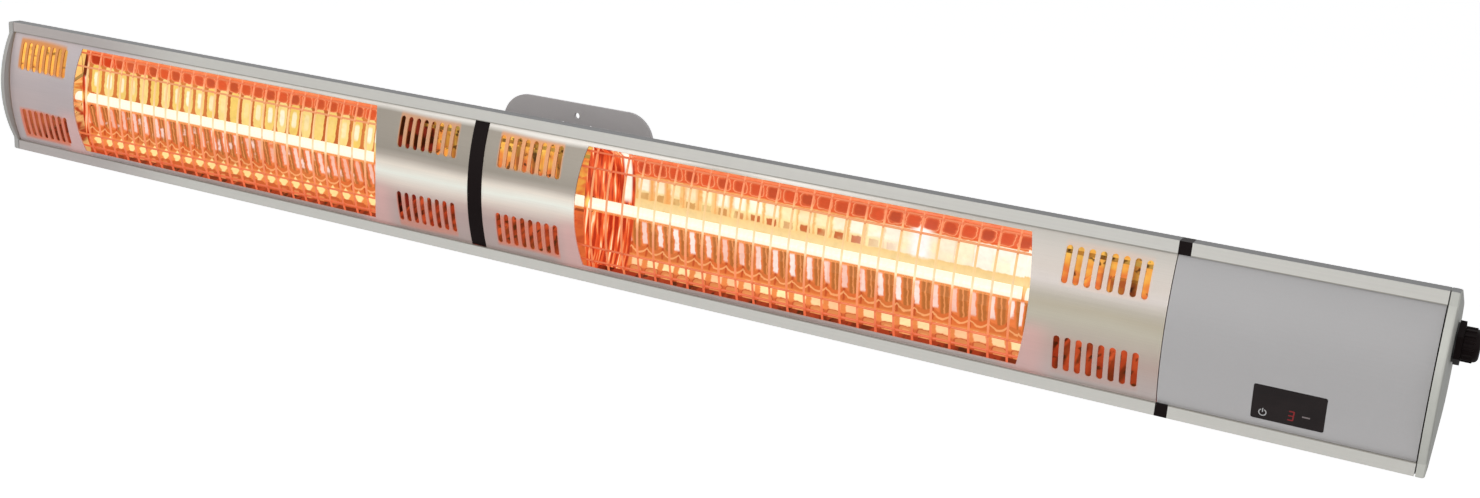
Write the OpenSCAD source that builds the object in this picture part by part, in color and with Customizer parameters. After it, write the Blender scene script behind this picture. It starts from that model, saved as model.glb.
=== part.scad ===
// Wall-mounted electric bar heater: two infrared lamps in a long aluminium housing,
// a control box on the right and a tilting wall bracket behind.
// Frame: origin at the centre of the wall plate's back face, +X to the right along
// the heater as seen from the front, +Y into the wall, +Z up.

/* [Housing section] */
// Height of the housing over its lips
housing_h = 128; // [110:1:150]
// Depth of the housing from the lips to its back
housing_d = 84; // [76:1:100]
// Wall of the extruded housing
wall_t = 1.8; // [1.2:0.1:3]
// Depth of the straight rim behind the lips
rim_d = 12; // [8:0.5:16]
// Angle at which the sides draw in behind the rim, in degrees
side_angle = 22; // [16:1:26]
// Radius of the rounded back edges
back_r = 26; // [18:1:30]
// Height of each front lip
lip_h = 9.5; // [7:0.5:12]
// Thickness of the front lips
lip_t = 2; // [1.5:0.1:3]

/* [Lengths from left to right] */
// Thickness of each end cap
cap_t = 6; // [4:0.5:9]
// Length of the left front cover
left_cover_len = 562; // [520:1:620]
// Width of the black strip between the two covers
strip_w = 14; // [8:0.5:20]
// Length of the right front cover
right_cover_len = 579; // [540:1:640]
// Width of the black spacer before the control box
spacer_w = 9; // [6:0.5:14]
// Length of the control box
control_len = 164; // [140:1:220]
// Distance of the wall bracket's middle to the right of the strip's left edge
bracket_from_strip = 10.2; // [0:0.1:14]

/* [Front covers] */
// How far the covers bulge in front of the lips
cover_bulge = 7.5; // [4:0.5:11]
// Sheet thickness of the covers
cover_t = 1; // [0.8:0.1:1.5]
// How far the end caps bulge in front of the lips
cap_bulge = 13.5; // [11:0.5:18]
// Height of the windows
window_h = 101; // [80:1:103]
// Sheet between the left window's left corner and the nearest slot's middle
gap_before_left_window = 20.3; // [16:0.1:40]
// Sheet between the left window's right corner and the nearest slot's middle
gap_after_left_window = 30.9; // [20:0.1:45]
// Sheet between the right window's left corner and the nearest slot's middle
gap_before_right_window = 24.8; // [16:0.1:40]
// Sheet between the right window's right corner and the nearest slot's middle
gap_after_right_window = 29.4; // [20:0.1:45]
// How far the ends of the windows bow outwards
window_bow = 6; // [2:0.5:9]
// Number of slots in each vent block
slot_count = 8; // [4:1:9]
// Spacing of the vent slots
slot_pitch = 8.2; // [6.5:0.1:9]
// Width of one vent slot
slot_w = 4.6; // [3:0.1:5.5]
// Height of one vent slot
slot_h = 27; // [18:1:32]
// Height of the middle of each vent block from the heater's middle
slot_z = 33; // [28:0.5:36]
// Distance of the first slot's middle from the cover's end
slot_edge = 17; // [10:0.5:22]

/* [Lamps and reflectors] */
// Outer diameter of the quartz lamp tube
tube_d = 11; // [8:0.5:14]
// Wall of the quartz tube
tube_wall = 1.1; // [0.8:0.1:1.6]
// Depth of the lamp's axis behind the lips
lamp_depth = 10; // [10:0.5:26]
// Length of lamp tube beyond each end of its window
tube_overhang = 26; // [18:1:34]
// Diameter of the glowing filament
filament_d = 2.4; // [1:0.1:4]
// Height of the reflector's mouth
reflector_h = 96; // [80:1:98]
// Depth of the reflector's mouth behind the lips
reflector_mouth = 7; // [7:0.5:14]
// Depth of the reflector from its mouth to its back
reflector_d = 43; // [30:0.5:46]
// Sheet thickness of the reflector
reflector_t = 0.8; // [0.5:0.1:1.5]
// Diameter of the guard wires
wire_d = 1.8; // [1.2:0.1:2.5]
// Spacing of the upright guard wires
wire_pitch = 15; // [12:0.5:20]

/* [Control box] */
// Width of the display window
display_w = 48.5; // [40:0.5:60]
// Height of the display window
display_h = 26.4; // [20:0.1:32]
// Distance of the display's middle from the heater's right end
display_from_right = 91; // [50:0.5:110]
// Height of the display's middle below the heater's middle
display_drop = 35.6; // [20:0.1:37]
// Thickness of the display window
display_t = 2.2; // [1.6:0.1:3]

/* [Cable gland] */
// Width across flats of the gland's hexagon
gland_hex = 27; // [22:0.5:32]
// Outer radius of the gland's thread
gland_thread_r = 10; // [8:0.5:12]
// Radius of the cable hole in the gland's seal
cable_r = 4.5; // [3:0.1:6]
// Depth of the gland's axis behind the lips
gland_depth = 42; // [36:0.5:46]
// Height of the gland's axis above the heater's middle
gland_z = 20; // [10:0.5:22]

/* [Wall bracket] */
// Width of the wall plate
plate_w = 162; // [120:1:180]
// Height of the wall plate
plate_h = 102; // [90:1:120]
// Radius of the wall plate's corners
plate_r = 27; // [15:1:40]
// Thickness of the bracket's steel sheet
steel_t = 3; // [2:0.1:4]
// Diameter of the holes for the wall screws
screw_hole_d = 5.5; // [4:0.1:7]
// Spacing of each pair of wall screws
screw_pair = 30; // [24:1:40]
// Height of the screw pairs above and below the middle
screw_pair_z = 29.5; // [25:0.5:32]
// Height of the single wall screws above and below the middle
screw_single_z = 39.5; // [37:0.5:42]
// Distance of the tilt axis from the wall
pivot_y = 39; // [34:0.5:50]
// Gap between the heater's back and the wall
wall_gap = 60; // [54:0.5:75]
// Diameter of the tilt bolts
bolt_d = 8; // [6:0.5:10]
// Width of the yoke over its cheeks
yoke_w = 64; // [56:1:80]

/* [Hidden] */

// Clearances and overruns
seat_gap = 0.3;
run_gap = 0.05;
screw_gap = 0.15;
overrun = 1;
round_faces = 48;
arc_steps = 16;

// Housing details
rib_t = 1.4;
groove_w = 1.6;
rib_drop = 7.5;
port_r = 3.4;
port_hole_r = 1.65;
port_weld = 0.5;
port_rim_y = 9.2;
cap_edge_r = 2;
gasket_t = 0.8;
gasket_w = 1.5;
cap_screw_head_r = 2.5;
cap_screw_head_t = 2;
cap_screw_shank_r = 1.5;
cap_screw_len = 16;
web_t = 3;
shield_t = 1;
shield_gap = 4;

// Cover details
tuck_h = 6;
bridge_t = 1.5;
bridge_w = 40;
bridge_foot_lap = 2.4;
bridge_foot_h = 2.2;
strip_proud = 0.6;
guard_gap = 1.5;
guard_overlap = 10;
wire_weld = 0.25;
rail_wire_shares = [-0.455, -0.33, 0.33, 0.455];

// Reflector section: shares of half the mouth's height and of the depth
facet_height_shares = [1, 0.86, 0.52, 0.17, -0.17, -0.52, -0.86, -1];
facet_depth_shares = [0, 0.46, 0.86, 1, 1, 0.86, 0.46, 0];
end_plate_t = 1;
lamp_hole_gap = 1.6;
end_plate_front = 7;
cap_ceramic_r = 7.2;
cap_ceramic_len = 22;
cap_ceramic_lap = 9;
clip_t = 1.2;
clip_len = 10;
clip_slot_w = 9;
clip_bracket_w = 16;
clip_bracket_t = 1.5;
lead_r = 1.6;
lead_y = 66;
lead_z = 24;
lead_turn = 9;
lead_overrun = 12;
lead_hole_gap = 1;

// Control box details
display_corner_r = 1.5;
digit_w = 10;
digit_h = 14;
digit_t = 3;
board_t = 1.6;
display_board_margin = 4;
display_board_gap = 4;
receiver_r = 2.5;
receiver_len = 3;
receiver_shift = 15;
control_board_len = 110;
control_board_h = 62;
control_board_y = 58;
board_hole_inset = 5;
standoff_r = 3;
board_screw_r = 1.4;
board_screw_head_r = 2.8;
board_screw_head_t = 1.8;
relay_size = [18, 15, 24];
relay_pitch = 26;
terminal_size = [44, 16, 12];
terminal_pole_r = 2.2;
terminal_poles = 4;
cutout_size = [20, 8, 14];
earth_head_r = 4.5;
earth_head_t = 3;
earth_shank_r = 2.4;

// Gland details
gland_flange_t = 4;
gland_inner_r = 7;
gland_thread_len = 15;
gland_neck_r = 9.4;
gland_neck_len = 5;
dome_r = 11.2;
dome_len = 10.5;
dome_end_r = 3.5;
dome_mouth_r = 6;
grip_count = 16;
grip_r = 0.9;
locknut_t = 4.5;
gland_washer_t = 1.2;

// Bracket details
cheek_end_r = 14;
cheek_root_h = 44;
yoke_bend_r = 5;
rivet_r = 2.4;
rivet_head_r = 4.6;
rivet_head_t = 1.8;
rivet_x = 18;
rivet_z = 14;
washer_t = 1.2;
washer_r = 11;
ear_end_r = 12;
ear_root_h = 44;
saddle_w = 110;
saddle_h = 46;
saddle_screw_x = 44;
saddle_screw_r = 3;
saddle_head_hex = 10;
saddle_head_t = 4;
backing_t = 4;
backing_w = 110;
bolt_head_hex = 13;
bolt_head_t = 5.3;
nut_t = 6.5;
bolt_spare = 2;

// Derived places, all from the heater's left end and its lip plane
left_cover_x = cap_t + gasket_t;
strip_x = left_cover_x + left_cover_len;
bracket_from_left = strip_x + bracket_from_strip;
right_cover_x = strip_x + strip_w;
spacer_x = right_cover_x + right_cover_len;
control_x = spacer_x + spacer_w;
right_gasket_x = control_x + control_len;
right_cap_x = right_gasket_x + gasket_t;
total_len = right_cap_x + cap_t;
lip_y = -wall_gap - housing_d;
half_h = housing_h / 2;
lip_z = half_h - lip_h;
slot_block_len = (slot_count - 1) * slot_pitch;
window_from_end = slot_edge + slot_block_len;
left_window_start = left_cover_x + window_from_end + gap_before_left_window;
left_window_len = strip_x - window_from_end - gap_after_left_window - left_window_start;
right_window_start = right_cover_x + window_from_end + gap_before_right_window;
right_window_len = spacer_x - window_from_end - gap_after_right_window - right_window_start;

// Side line of the section: its outward normal, and where the back rounding sits
function back_centre_z() =
    (sin(side_angle) * (rim_d - housing_d + back_r) + cos(side_angle) * half_h - back_r)
    / cos(side_angle);
back_centre_y = housing_d - back_r;
back_flat = back_centre_z();
backing_h = 2 * (back_flat - seat_gap);
saddle_screw_z = backing_h / 3;

// Points on an arc in the section's plane
function arc_points(cy, cz, r, from, to, steps) =
    [for (i = [0 : steps]) let (a = from + (to - from) * i / steps)
        [cy + r * cos(a), cz + r * sin(a)]];
function flipped(points) = [for (i = [len(points) - 1 : -1 : 0]) [points[i][0], -points[i][1]]];

// Upper half of the housing's outline from the rim to the back, drawn in by an inset
function upper_outline(inset) = concat(
    [[rim_d - inset * tan(side_angle / 2), half_h - inset]],
    arc_points(back_centre_y, back_flat, back_r - inset, 90 - side_angle, 0, arc_steps));

// Whole outline, closed at the front at a given depth
function section_outline(inset, front) = concat(
    [[front, half_h - inset]],
    upper_outline(inset),
    flipped(upper_outline(inset)),
    [[front, -half_h + inset]]);

// Circle of the bulging sheets: radius through the lips' inner edges, and its centre
function bulge_r(half, rise) = (half * half + rise * rise) / (2 * rise);
cover_edge_y = lip_t + seat_gap;
cover_edge_z = lip_z - seat_gap;
cover_r = bulge_r(cover_edge_z, cover_bulge + cover_edge_y);
cover_cy = cover_r - cover_bulge;
cap_r = bulge_r(lip_z, cap_bulge);
cap_cy = cap_r - cap_bulge;

// Depth of a sheet's outer face at a height, and its slope there
function cover_face_y(z) = cover_cy - sqrt(cover_r * cover_r - z * z);
function cover_slope(z) = asin(z / cover_r);

// Front arc of a sheet that lies a distance behind the covers' outer face
function front_arc(offset, edge_z) =
    let (r = cover_r - offset, a = asin(edge_z / r))
    arc_points(cover_cy, 0, r, 180 + a, 180 - a, 2 * arc_steps);
function edge_angle(offset, depth) = acos((cover_cy - depth) / (cover_r - offset));

// Pushes a drawing in the section's plane along the heater
module along(x, length) {
    translate([x, 0, 0]) rotate([90, 0, 90]) linear_extrude(length) children();
}

// Moves heater pieces from the left end and lip plane to the row's frame
module heater_frame() {
    translate([-bracket_from_left, lip_y, 0]) children();
}

// Cylinder that runs along the heater
module rod_x(x, y, z, r, length) {
    translate([x, y, z]) rotate([0, 90, 0]) cylinder(r = r, h = length, $fn = round_faces);
}

// Cylinder that runs from front to back
module rod_y(x, y, z, r, length) {
    translate([x, y, z]) rotate([-90, 0, 0]) cylinder(r = r, h = length, $fn = round_faces);
}

// Hexagon prism along the heater, given across its flats
module hex_x(x, y, z, flats, length) {
    translate([x, y, z]) rotate([0, 90, 0])
        cylinder(r = flats / 2 / cos(30), h = length, $fn = 6);
}

// Hexagon prism from front to back, given across its flats
module hex_y(x, y, z, flats, length) {
    translate([x, y, z]) rotate([-90, 0, 0])
        cylinder(r = flats / 2 / cos(30), h = length, $fn = 6);
}

// Places of the four screw ports: two behind the lips and two in the back rounding
port_rim_z = half_h - wall_t - port_r + port_weld;
port_back_reach = back_r - wall_t - port_r + port_weld;
port_back_y = back_centre_y + port_back_reach * cos(45);
port_back_z = back_flat + port_back_reach * sin(45);
port_places = [
    [port_rim_y, port_rim_z], [port_rim_y, -port_rim_z],
    [port_back_y, port_back_z], [port_back_y, -port_back_z]
];

// Extrusion of a given length: walls, lips, ribs of the cover grooves and screw ports
module housing_extrusion(x, length) {
    rib_y = lip_t + groove_w;
    rib_span = rib_drop + wall_t / 2;
    difference() {
        union() {
            difference() {
                along(x, length) polygon(section_outline(0, 0));
                along(x - overrun, length + 2 * overrun)
                    polygon(section_outline(wall_t, lip_t));
                translate([x - overrun, -overrun, -lip_z])
                    cube([length + 2 * overrun, lip_t + 2 * overrun, 2 * lip_z]);
            }
            for (z = [half_h - wall_t / 2 - rib_span, -half_h + wall_t / 2])
                translate([x, rib_y, z]) cube([length, rib_t, rib_span]);
            for (place = port_places)
                rod_x(x, place[0], place[1], port_r, length);
        }
        for (place = port_places)
            rod_x(x - overrun, place[0], place[1], port_hole_r, length + 2 * overrun);
    }
}

module housing() {
    color([0.80, 0.79, 0.77]) heater_frame() difference() {
        housing_extrusion(left_cover_x, spacer_x - left_cover_x);
        for (sx = [-1, 1], sz = [-1, 1])
            rod_y(bracket_from_left + sx * saddle_screw_x, housing_d - wall_t - overrun,
                sz * saddle_screw_z, saddle_screw_r + screw_gap, wall_t + 2 * overrun);
    }
}

module control_housing() {
    color([0.80, 0.79, 0.77]) heater_frame() difference() {
        housing_extrusion(control_x, control_len);
        rod_y(earth_x, housing_d - wall_t - overrun, 0, earth_shank_r + run_gap,
            wall_t + 2 * overrun);
    }
}

// Black spacer of the same section, with a web that parts the hot and the cool side
module section_spacer() {
    color([0.06, 0.06, 0.06]) heater_frame() {
        housing_extrusion(spacer_x, spacer_w);
        difference() {
            along(spacer_x + (spacer_w - web_t) / 2, web_t)
                polygon(section_outline(wall_t / 2, lip_t + groove_w + rib_t));
            lead_holes(spacer_x - overrun, spacer_w + 2 * overrun);
            for (place = port_places)
                rod_x(spacer_x - overrun, place[0], place[1], port_hole_r,
                    spacer_w + 2 * overrun);
        }
    }
}

// Two holes through which the lamp leads pass a plate
module lead_holes(x, length) {
    for (side = [-1, 1])
        rod_x(x, lead_y, side * lead_z, lead_r + lead_hole_gap, length);
}

// Steel plate that keeps the lamps' heat from the control box
module heat_shield() {
    inset = wall_t + seat_gap;
    color([0.72, 0.72, 0.73]) heater_frame() difference() {
        along(spacer_x - shield_gap, shield_t)
            polygon(section_outline(inset, end_plate_front));
        lead_holes(spacer_x - shield_gap - overrun, shield_t + 2 * overrun);
        for (place = port_places)
            rod_x(spacer_x - shield_gap - overrun, place[0], place[1],
                port_r + seat_gap, shield_t + 2 * overrun);
    }
}

// Section of a plate of a given width whose outer corner is rounded
module rounded_corner(width, thick, r) {
    square([width, thick - r]);
    square([width - r, thick]);
    translate([width - r, thick - r]) circle(r = r, $fn = round_faces);
}

// End cap on the left: the housing's outline, with a bulging front between the lips,
// rounded along its top, bottom and bulging edges
module cap_plate() {
    depth = housing_d + 2 * overrun;
    intersection() {
        along(0, cap_t) polygon(section_outline(0, 0));
        for (side = [0, 1]) mirror([0, 0, side])
            translate([cap_t, depth - overrun, -overrun]) rotate([90, -90, 0])
                linear_extrude(depth)
                    rounded_corner(half_h + overrun, cap_t, cap_edge_r);
    }
    intersection() {
        translate([cap_t, cap_cy, 0]) rotate([0, -90, 0])
            rotate_extrude($fn = 4 * round_faces) rounded_corner(cap_r, cap_t, cap_edge_r);
        translate([-overrun, -cap_bulge - overrun, -lip_z - overrun])
            cube([cap_t + 2 * overrun, cap_bulge + rim_d / 2, 2 * (lip_z + overrun)]);
    }
}

// Stepped holes through a cap, from its outer face, that hide the screws' heads
module cap_screw_holes() {
    for (place = port_places) {
        rod_x(-overrun, place[0], place[1], cap_screw_shank_r + screw_gap,
            cap_t + 2 * overrun);
        rod_x(-overrun, place[0], place[1], cap_screw_head_r + screw_gap,
            cap_screw_head_t + seat_gap + overrun);
    }
}

module left_end_cap() {
    color([0.78, 0.78, 0.76]) heater_frame() difference() {
        cap_plate();
        cap_screw_holes();
    }
}

module right_end_cap() {
    color([0.78, 0.78, 0.76]) heater_frame() difference() {
        translate([total_len, 0, 0]) mirror([1, 0, 0]) {
            difference() {
                cap_plate();
                cap_screw_holes();
            }
        }
        rod_x(right_cap_x - overrun, gland_depth, gland_z, gland_thread_r + screw_gap,
            cap_t + 2 * overrun);
    }
}

// Sealing ring between a cap and the housing
module cap_gasket(x) {
    front = lip_t + groove_w + rib_t;
    color([0.10, 0.10, 0.10]) heater_frame() difference() {
        union() {
            difference() {
                along(x, gasket_t) polygon(section_outline(seat_gap, front));
                along(x - overrun, gasket_t + 2 * overrun)
                    polygon(section_outline(seat_gap + gasket_w, front + gasket_w));
            }
            for (place = port_places)
                rod_x(x, place[0], place[1], port_r, gasket_t);
        }
        for (place = port_places)
            rod_x(x - overrun, place[0], place[1], port_hole_r, gasket_t + 2 * overrun);
    }
}

module left_cap_gasket() {
    cap_gasket(cap_t);
}

module right_cap_gasket() {
    cap_gasket(right_gasket_x);
}

// Screws that hold a cap, with sunk heads; the shanks enter the housing's screw ports
module cap_screws() {
    floor_x = cap_screw_head_t + seat_gap;
    for (place = port_places) difference() {
        union() {
            rod_x(seat_gap, place[0], place[1], cap_screw_head_r, cap_screw_head_t);
            rod_x(floor_x, place[0], place[1], cap_screw_shank_r, cap_screw_len);
        }
        translate([seat_gap - overrun, place[0], place[1]]) rotate([0, 90, 0])
            cylinder(r = cap_screw_shank_r, h = overrun + cap_screw_head_t / 2, $fn = 6);
    }
}

module left_cap_screws() {
    color([0.55, 0.55, 0.56]) heater_frame() cap_screws();
}

module right_cap_screws() {
    color([0.55, 0.55, 0.56]) heater_frame()
        translate([total_len, 0, 0]) mirror([1, 0, 0]) cap_screws();
}

// Section of a bulging sheet with its edges tucked behind the lips
function sheet_section(thick) =
    let (
        outer_a = edge_angle(0, cover_edge_y),
        inner_a = edge_angle(thick, cover_edge_y + thick),
        tuck_z = cover_edge_z + tuck_h
    )
    concat(
        [[cover_edge_y, -tuck_z]],
        arc_points(cover_cy, 0, cover_r, 180 + outer_a, 180 - outer_a, 2 * arc_steps),
        [[cover_edge_y, tuck_z], [cover_edge_y + thick, tuck_z]],
        arc_points(cover_cy, 0, cover_r - thick, 180 - inner_a, 180 + inner_a, 2 * arc_steps),
        [[cover_edge_y + thick, -tuck_z]]);

// Window with straight long sides and bowed ends, cut from front to back
module window_cut(x, length) {
    half = window_h / 2;
    end_r = bulge_r(half, window_bow);
    depth = cover_bulge + cover_edge_y + cover_t + 2 * overrun;
    translate([x, -cover_bulge - overrun, 0]) rotate([-90, 0, 0]) linear_extrude(depth) {
        translate([0, -half]) square([length, window_h]);
        intersection() {
            translate([end_r - window_bow, 0]) circle(r = end_r, $fn = 4 * round_faces);
            translate([-window_bow, -half]) square([window_bow + overrun, window_h]);
        }
        intersection() {
            translate([length - end_r + window_bow, 0])
                circle(r = end_r, $fn = 4 * round_faces);
            translate([length - overrun, -half]) square([window_bow + overrun, window_h]);
        }
    }
}

// Block of upright slots with round ends, cut from front to back
module slot_block(x, z) {
    depth = cover_bulge + cover_edge_y + cover_t + 2 * overrun;
    straight = slot_h - slot_w;
    for (i = [0 : slot_count - 1])
        translate([x + i * slot_pitch, -cover_bulge - overrun, z]) rotate([-90, 0, 0])
            linear_extrude(depth) {
                translate([-slot_w / 2, -straight / 2]) square([slot_w, straight]);
                for (side = [-1, 1])
                    translate([0, side * straight / 2])
                        circle(d = slot_w, $fn = round_faces / 2);
            }
}

// Brushed cover: sheet with its window and four vent blocks
module front_cover(x, length, window_x, window_len) {
    color([0.76, 0.75, 0.73]) heater_frame() difference() {
        along(x + seat_gap, length - 2 * seat_gap) polygon(sheet_section(cover_t));
        window_cut(window_x, window_len);
        for (side = [-1, 1]) {
            slot_block(x + slot_edge, side * slot_z);
            slot_block(x + length - window_from_end, side * slot_z);
        }
    }
}

module left_cover() {
    front_cover(left_cover_x, left_cover_len, left_window_start, left_window_len);
}

module right_cover() {
    front_cover(right_cover_x, right_cover_len, right_window_start, right_window_len);
}

// Black strip in the joint of the covers, a little proud of them
module joint_strip() {
    outer_r = cover_r + strip_proud;
    inner_r = cover_r - cover_t;
    outer_a = asin(cover_edge_z / outer_r);
    inner_a = asin(cover_edge_z / inner_r);
    color([0.05, 0.05, 0.05]) heater_frame() along(strip_x, strip_w) polygon(concat(
        arc_points(cover_cy, 0, outer_r, 180 + outer_a, 180 - outer_a, 2 * arc_steps),
        arc_points(cover_cy, 0, inner_r, 180 - inner_a, 180 + inner_a, 2 * arc_steps)));
}

// Steel strap behind the joint: an arc with two feet that rest on the grooves' ribs
module joint_bridge() {
    outer_r = cover_r - cover_t - seat_gap;
    foot_y = lip_t + groove_w + rib_t;
    foot_z = cover_edge_z - bridge_foot_lap;
    arc_a = asin(foot_z / outer_r);
    x = strip_x + (strip_w - bridge_w) / 2;
    foot_span = bridge_t + bridge_foot_lap + bridge_foot_h;
    web_y = cover_cy - outer_r * cos(arc_a) + seat_gap;
    color([0.62, 0.62, 0.63]) heater_frame() {
        along(x, bridge_w) polygon(concat(
            arc_points(cover_cy, 0, outer_r, 180 + arc_a, 180 - arc_a, 2 * arc_steps),
            arc_points(cover_cy, 0, outer_r - bridge_t, 180 - arc_a, 180 + arc_a,
                2 * arc_steps)));
        for (z = [foot_z - bridge_t, -foot_z])
            translate([x, web_y, z]) cube([bridge_w, foot_y + bridge_t - web_y, bridge_t]);
        for (z = [foot_z - bridge_t, -foot_z + bridge_t - foot_span])
            translate([x, foot_y, z]) cube([bridge_w, bridge_t, foot_span]);
    }
}

// Radii on which the guard's upright wires and its long wires lie
bend_r = cover_r - cover_t - guard_gap - wire_d / 2;
rail_bend_r = bend_r - wire_d + wire_weld;

// Wire guard: upright wires bent to the cover's curve, welded to wires along the window
module wire_guard(window_x, window_len) {
    count = floor((window_len - wire_pitch) / wire_pitch) + 1;
    first = window_x + (window_len - (count - 1) * wire_pitch) / 2;
    sweep = 2 * asin((window_h / 2 + wire_d) / bend_r);
    color([0.75, 0.72, 0.68]) heater_frame() {
        for (i = [0 : count - 1])
            translate([first + i * wire_pitch, cover_cy, 0]) rotate([90, 0, 90])
                rotate([0, 0, 180 - sweep / 2])
                    rotate_extrude(angle = sweep, $fn = 4 * round_faces)
                        translate([bend_r, 0]) circle(d = wire_d, $fn = 16);
        for (share = rail_wire_shares) {
            a = asin(share * window_h / rail_bend_r);
            rod_x(window_x - guard_overlap, cover_cy - rail_bend_r * cos(a),
                rail_bend_r * sin(a), wire_d / 2, window_len + 2 * guard_overlap);
        }
    }
}

module left_guard() {
    wire_guard(left_window_start, left_window_len);
}

module right_guard() {
    wire_guard(right_window_start, right_window_len);
}

// Facet corners of the reflector, pushed outwards by a thickness
function facet_points(out) = [for (i = [0 : len(facet_height_shares) - 1])
    [reflector_mouth + facet_depth_shares[i] * (reflector_d + out),
        facet_height_shares[i] * (reflector_h / 2 + out)]];
function reversed(points) = [for (i = [len(points) - 1 : -1 : 0]) points[i]];

// Polished trough with bent facets and a narrow rim along its mouth
module reflector(window_x, window_len) {
    color([0.93, 0.88, 0.80]) heater_frame()
        along(window_x + end_plate_t, window_len - 2 * end_plate_t)
            polygon(concat(facet_points(0), reversed(facet_points(reflector_t))));
}

module left_reflector() {
    reflector(left_window_start, left_window_len);
}

module right_reflector() {
    reflector(right_window_start, right_window_len);
}

// Bulkhead outline: the housing's inside, with a curved front on which the guard rests
function bulkhead_outline() =
    let (
        inset = wall_t + seat_gap,
        r = rail_bend_r - wire_d / 2 - run_gap,
        a = acos((cover_cy - end_plate_front) / r)
    )
    concat(
        section_outline(inset, end_plate_front),
        arc_points(cover_cy, 0, r, 180 + a, 180 - a, arc_steps));

// Bulkheads at both ends of a reflector
module reflector_ends(window_x, window_len) {
    color([0.85, 0.82, 0.76]) heater_frame()
        for (x = [window_x, window_x + window_len - end_plate_t]) difference() {
            along(x, end_plate_t) polygon(bulkhead_outline());
            rod_x(x - overrun, lamp_depth, 0, tube_d / 2 + lamp_hole_gap,
                end_plate_t + 2 * overrun);
            lead_holes(x - overrun, end_plate_t + 2 * overrun);
            for (place = port_places)
                rod_x(x - overrun, place[0], place[1], port_r + seat_gap,
                    end_plate_t + 2 * overrun);
        }
}

module left_reflector_ends() {
    reflector_ends(left_window_start, left_window_len);
}

module right_reflector_ends() {
    reflector_ends(right_window_start, right_window_len);
}

// Quartz tube of a lamp
module lamp_tube(window_x, window_len) {
    x = window_x - tube_overhang;
    length = window_len + 2 * tube_overhang;
    color([1.0, 0.86, 0.55]) heater_frame() difference() {
        rod_x(x, lamp_depth, 0, tube_d / 2, length);
        rod_x(x - overrun, lamp_depth, 0, tube_d / 2 - tube_wall, length + 2 * overrun);
    }
}

module left_lamp_tube() {
    lamp_tube(left_window_start, left_window_len);
}

module right_lamp_tube() {
    lamp_tube(right_window_start, right_window_len);
}

// Glowing filament on the lamp's axis, with support discs that touch the tube
module filament(window_x, window_len) {
    x = window_x - tube_overhang + cap_ceramic_lap;
    length = window_len + 2 * (tube_overhang - cap_ceramic_lap);
    disc_count = 9;
    disc_t = filament_d / 4;
    color([1.0, 0.95, 0.8]) heater_frame() {
        rod_x(x, lamp_depth, 0, filament_d / 2, length);
        for (i = [0 : disc_count - 1])
            rod_x(x + (length - disc_t) * i / (disc_count - 1), lamp_depth, 0,
                tube_d / 2 - tube_wall, disc_t);
    }
}

module left_filament() {
    filament(left_window_start, left_window_len);
}

module right_filament() {
    filament(right_window_start, right_window_len);
}

// Ceramic caps that close both ends of a lamp tube
module lamp_caps(window_x, window_len) {
    start = window_x - tube_overhang + cap_ceramic_lap;
    end = window_x + window_len + tube_overhang - cap_ceramic_lap;
    color([0.93, 0.91, 0.86]) heater_frame() {
        difference() {
            rod_x(start - cap_ceramic_len, lamp_depth, 0, cap_ceramic_r, cap_ceramic_len);
            rod_x(start - cap_ceramic_lap, lamp_depth, 0, tube_d / 2,
                cap_ceramic_lap + overrun);
        }
        difference() {
            rod_x(end, lamp_depth, 0, cap_ceramic_r, cap_ceramic_len);
            rod_x(end - overrun, lamp_depth, 0, tube_d / 2, cap_ceramic_lap + overrun);
        }
    }
}

module left_lamp_caps() {
    lamp_caps(left_window_start, left_window_len);
}

module right_lamp_caps() {
    lamp_caps(right_window_start, right_window_len);
}

// Where the spring clips grip the ceramic caps
function clip_starts(window_x, window_len) = [
    window_x - tube_overhang + cap_ceramic_lap - cap_ceramic_len,
    window_x + window_len + tube_overhang - cap_ceramic_lap + cap_ceramic_len - clip_len
];

// Spring clips: open rings round the ceramic caps, on a short foot
module lamp_clips(window_x, window_len) {
    ring_r = cap_ceramic_r + clip_t;
    color([0.80, 0.80, 0.82]) heater_frame()
        for (x = clip_starts(window_x, window_len)) difference() {
            union() {
                rod_x(x, lamp_depth, 0, ring_r, clip_len);
                translate([x, lamp_depth, -ring_r]) cube([clip_len, ring_r + clip_t, 2 * ring_r]);
            }
            rod_x(x - overrun, lamp_depth, 0, cap_ceramic_r, clip_len + 2 * overrun);
            translate([x - overrun, lamp_depth - ring_r - overrun, -clip_slot_w / 2])
                cube([clip_len + 2 * overrun, ring_r + overrun, clip_slot_w]);
        }
}

module left_lamp_clips() {
    lamp_clips(left_window_start, left_window_len);
}

module right_lamp_clips() {
    lamp_clips(right_window_start, right_window_len);
}

// Angle brackets that carry the clips from the housing's back wall
module clip_brackets(window_x, window_len) {
    front = lamp_depth + cap_ceramic_r + 2 * clip_t;
    back = housing_d - wall_t;
    color([0.70, 0.70, 0.71]) heater_frame()
        for (x = clip_starts(window_x, window_len)) {
            translate([x, front, -clip_bracket_w / 2])
                cube([clip_len, clip_bracket_t, clip_bracket_w]);
            translate([x, front, -clip_bracket_w / 2])
                cube([clip_bracket_t, back - front, clip_bracket_w]);
            translate([x, back - clip_bracket_t, -clip_bracket_w / 2])
                cube([clip_len, clip_bracket_t, clip_bracket_w]);
        }
}

module left_clip_brackets() {
    clip_brackets(left_window_start, left_window_len);
}

module right_clip_brackets() {
    clip_brackets(right_window_start, right_window_len);
}

// Safety switch that opens when the housing gets too hot
module thermal_cutout() {
    x = clip_starts(right_window_start, right_window_len)[1] + clip_len + shield_gap;
    y = housing_d - wall_t - cutout_size[1];
    tab = cutout_size[0] / 4;
    color([0.15, 0.15, 0.16]) heater_frame() {
        translate([x, y, -cutout_size[2] / 2]) cube(cutout_size);
        for (i = [1, 2])
            translate([x + i * tab + tab / 4, y - tab, -tab / 2]) cube([tab / 4, tab, tab]);
    }
}

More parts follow.
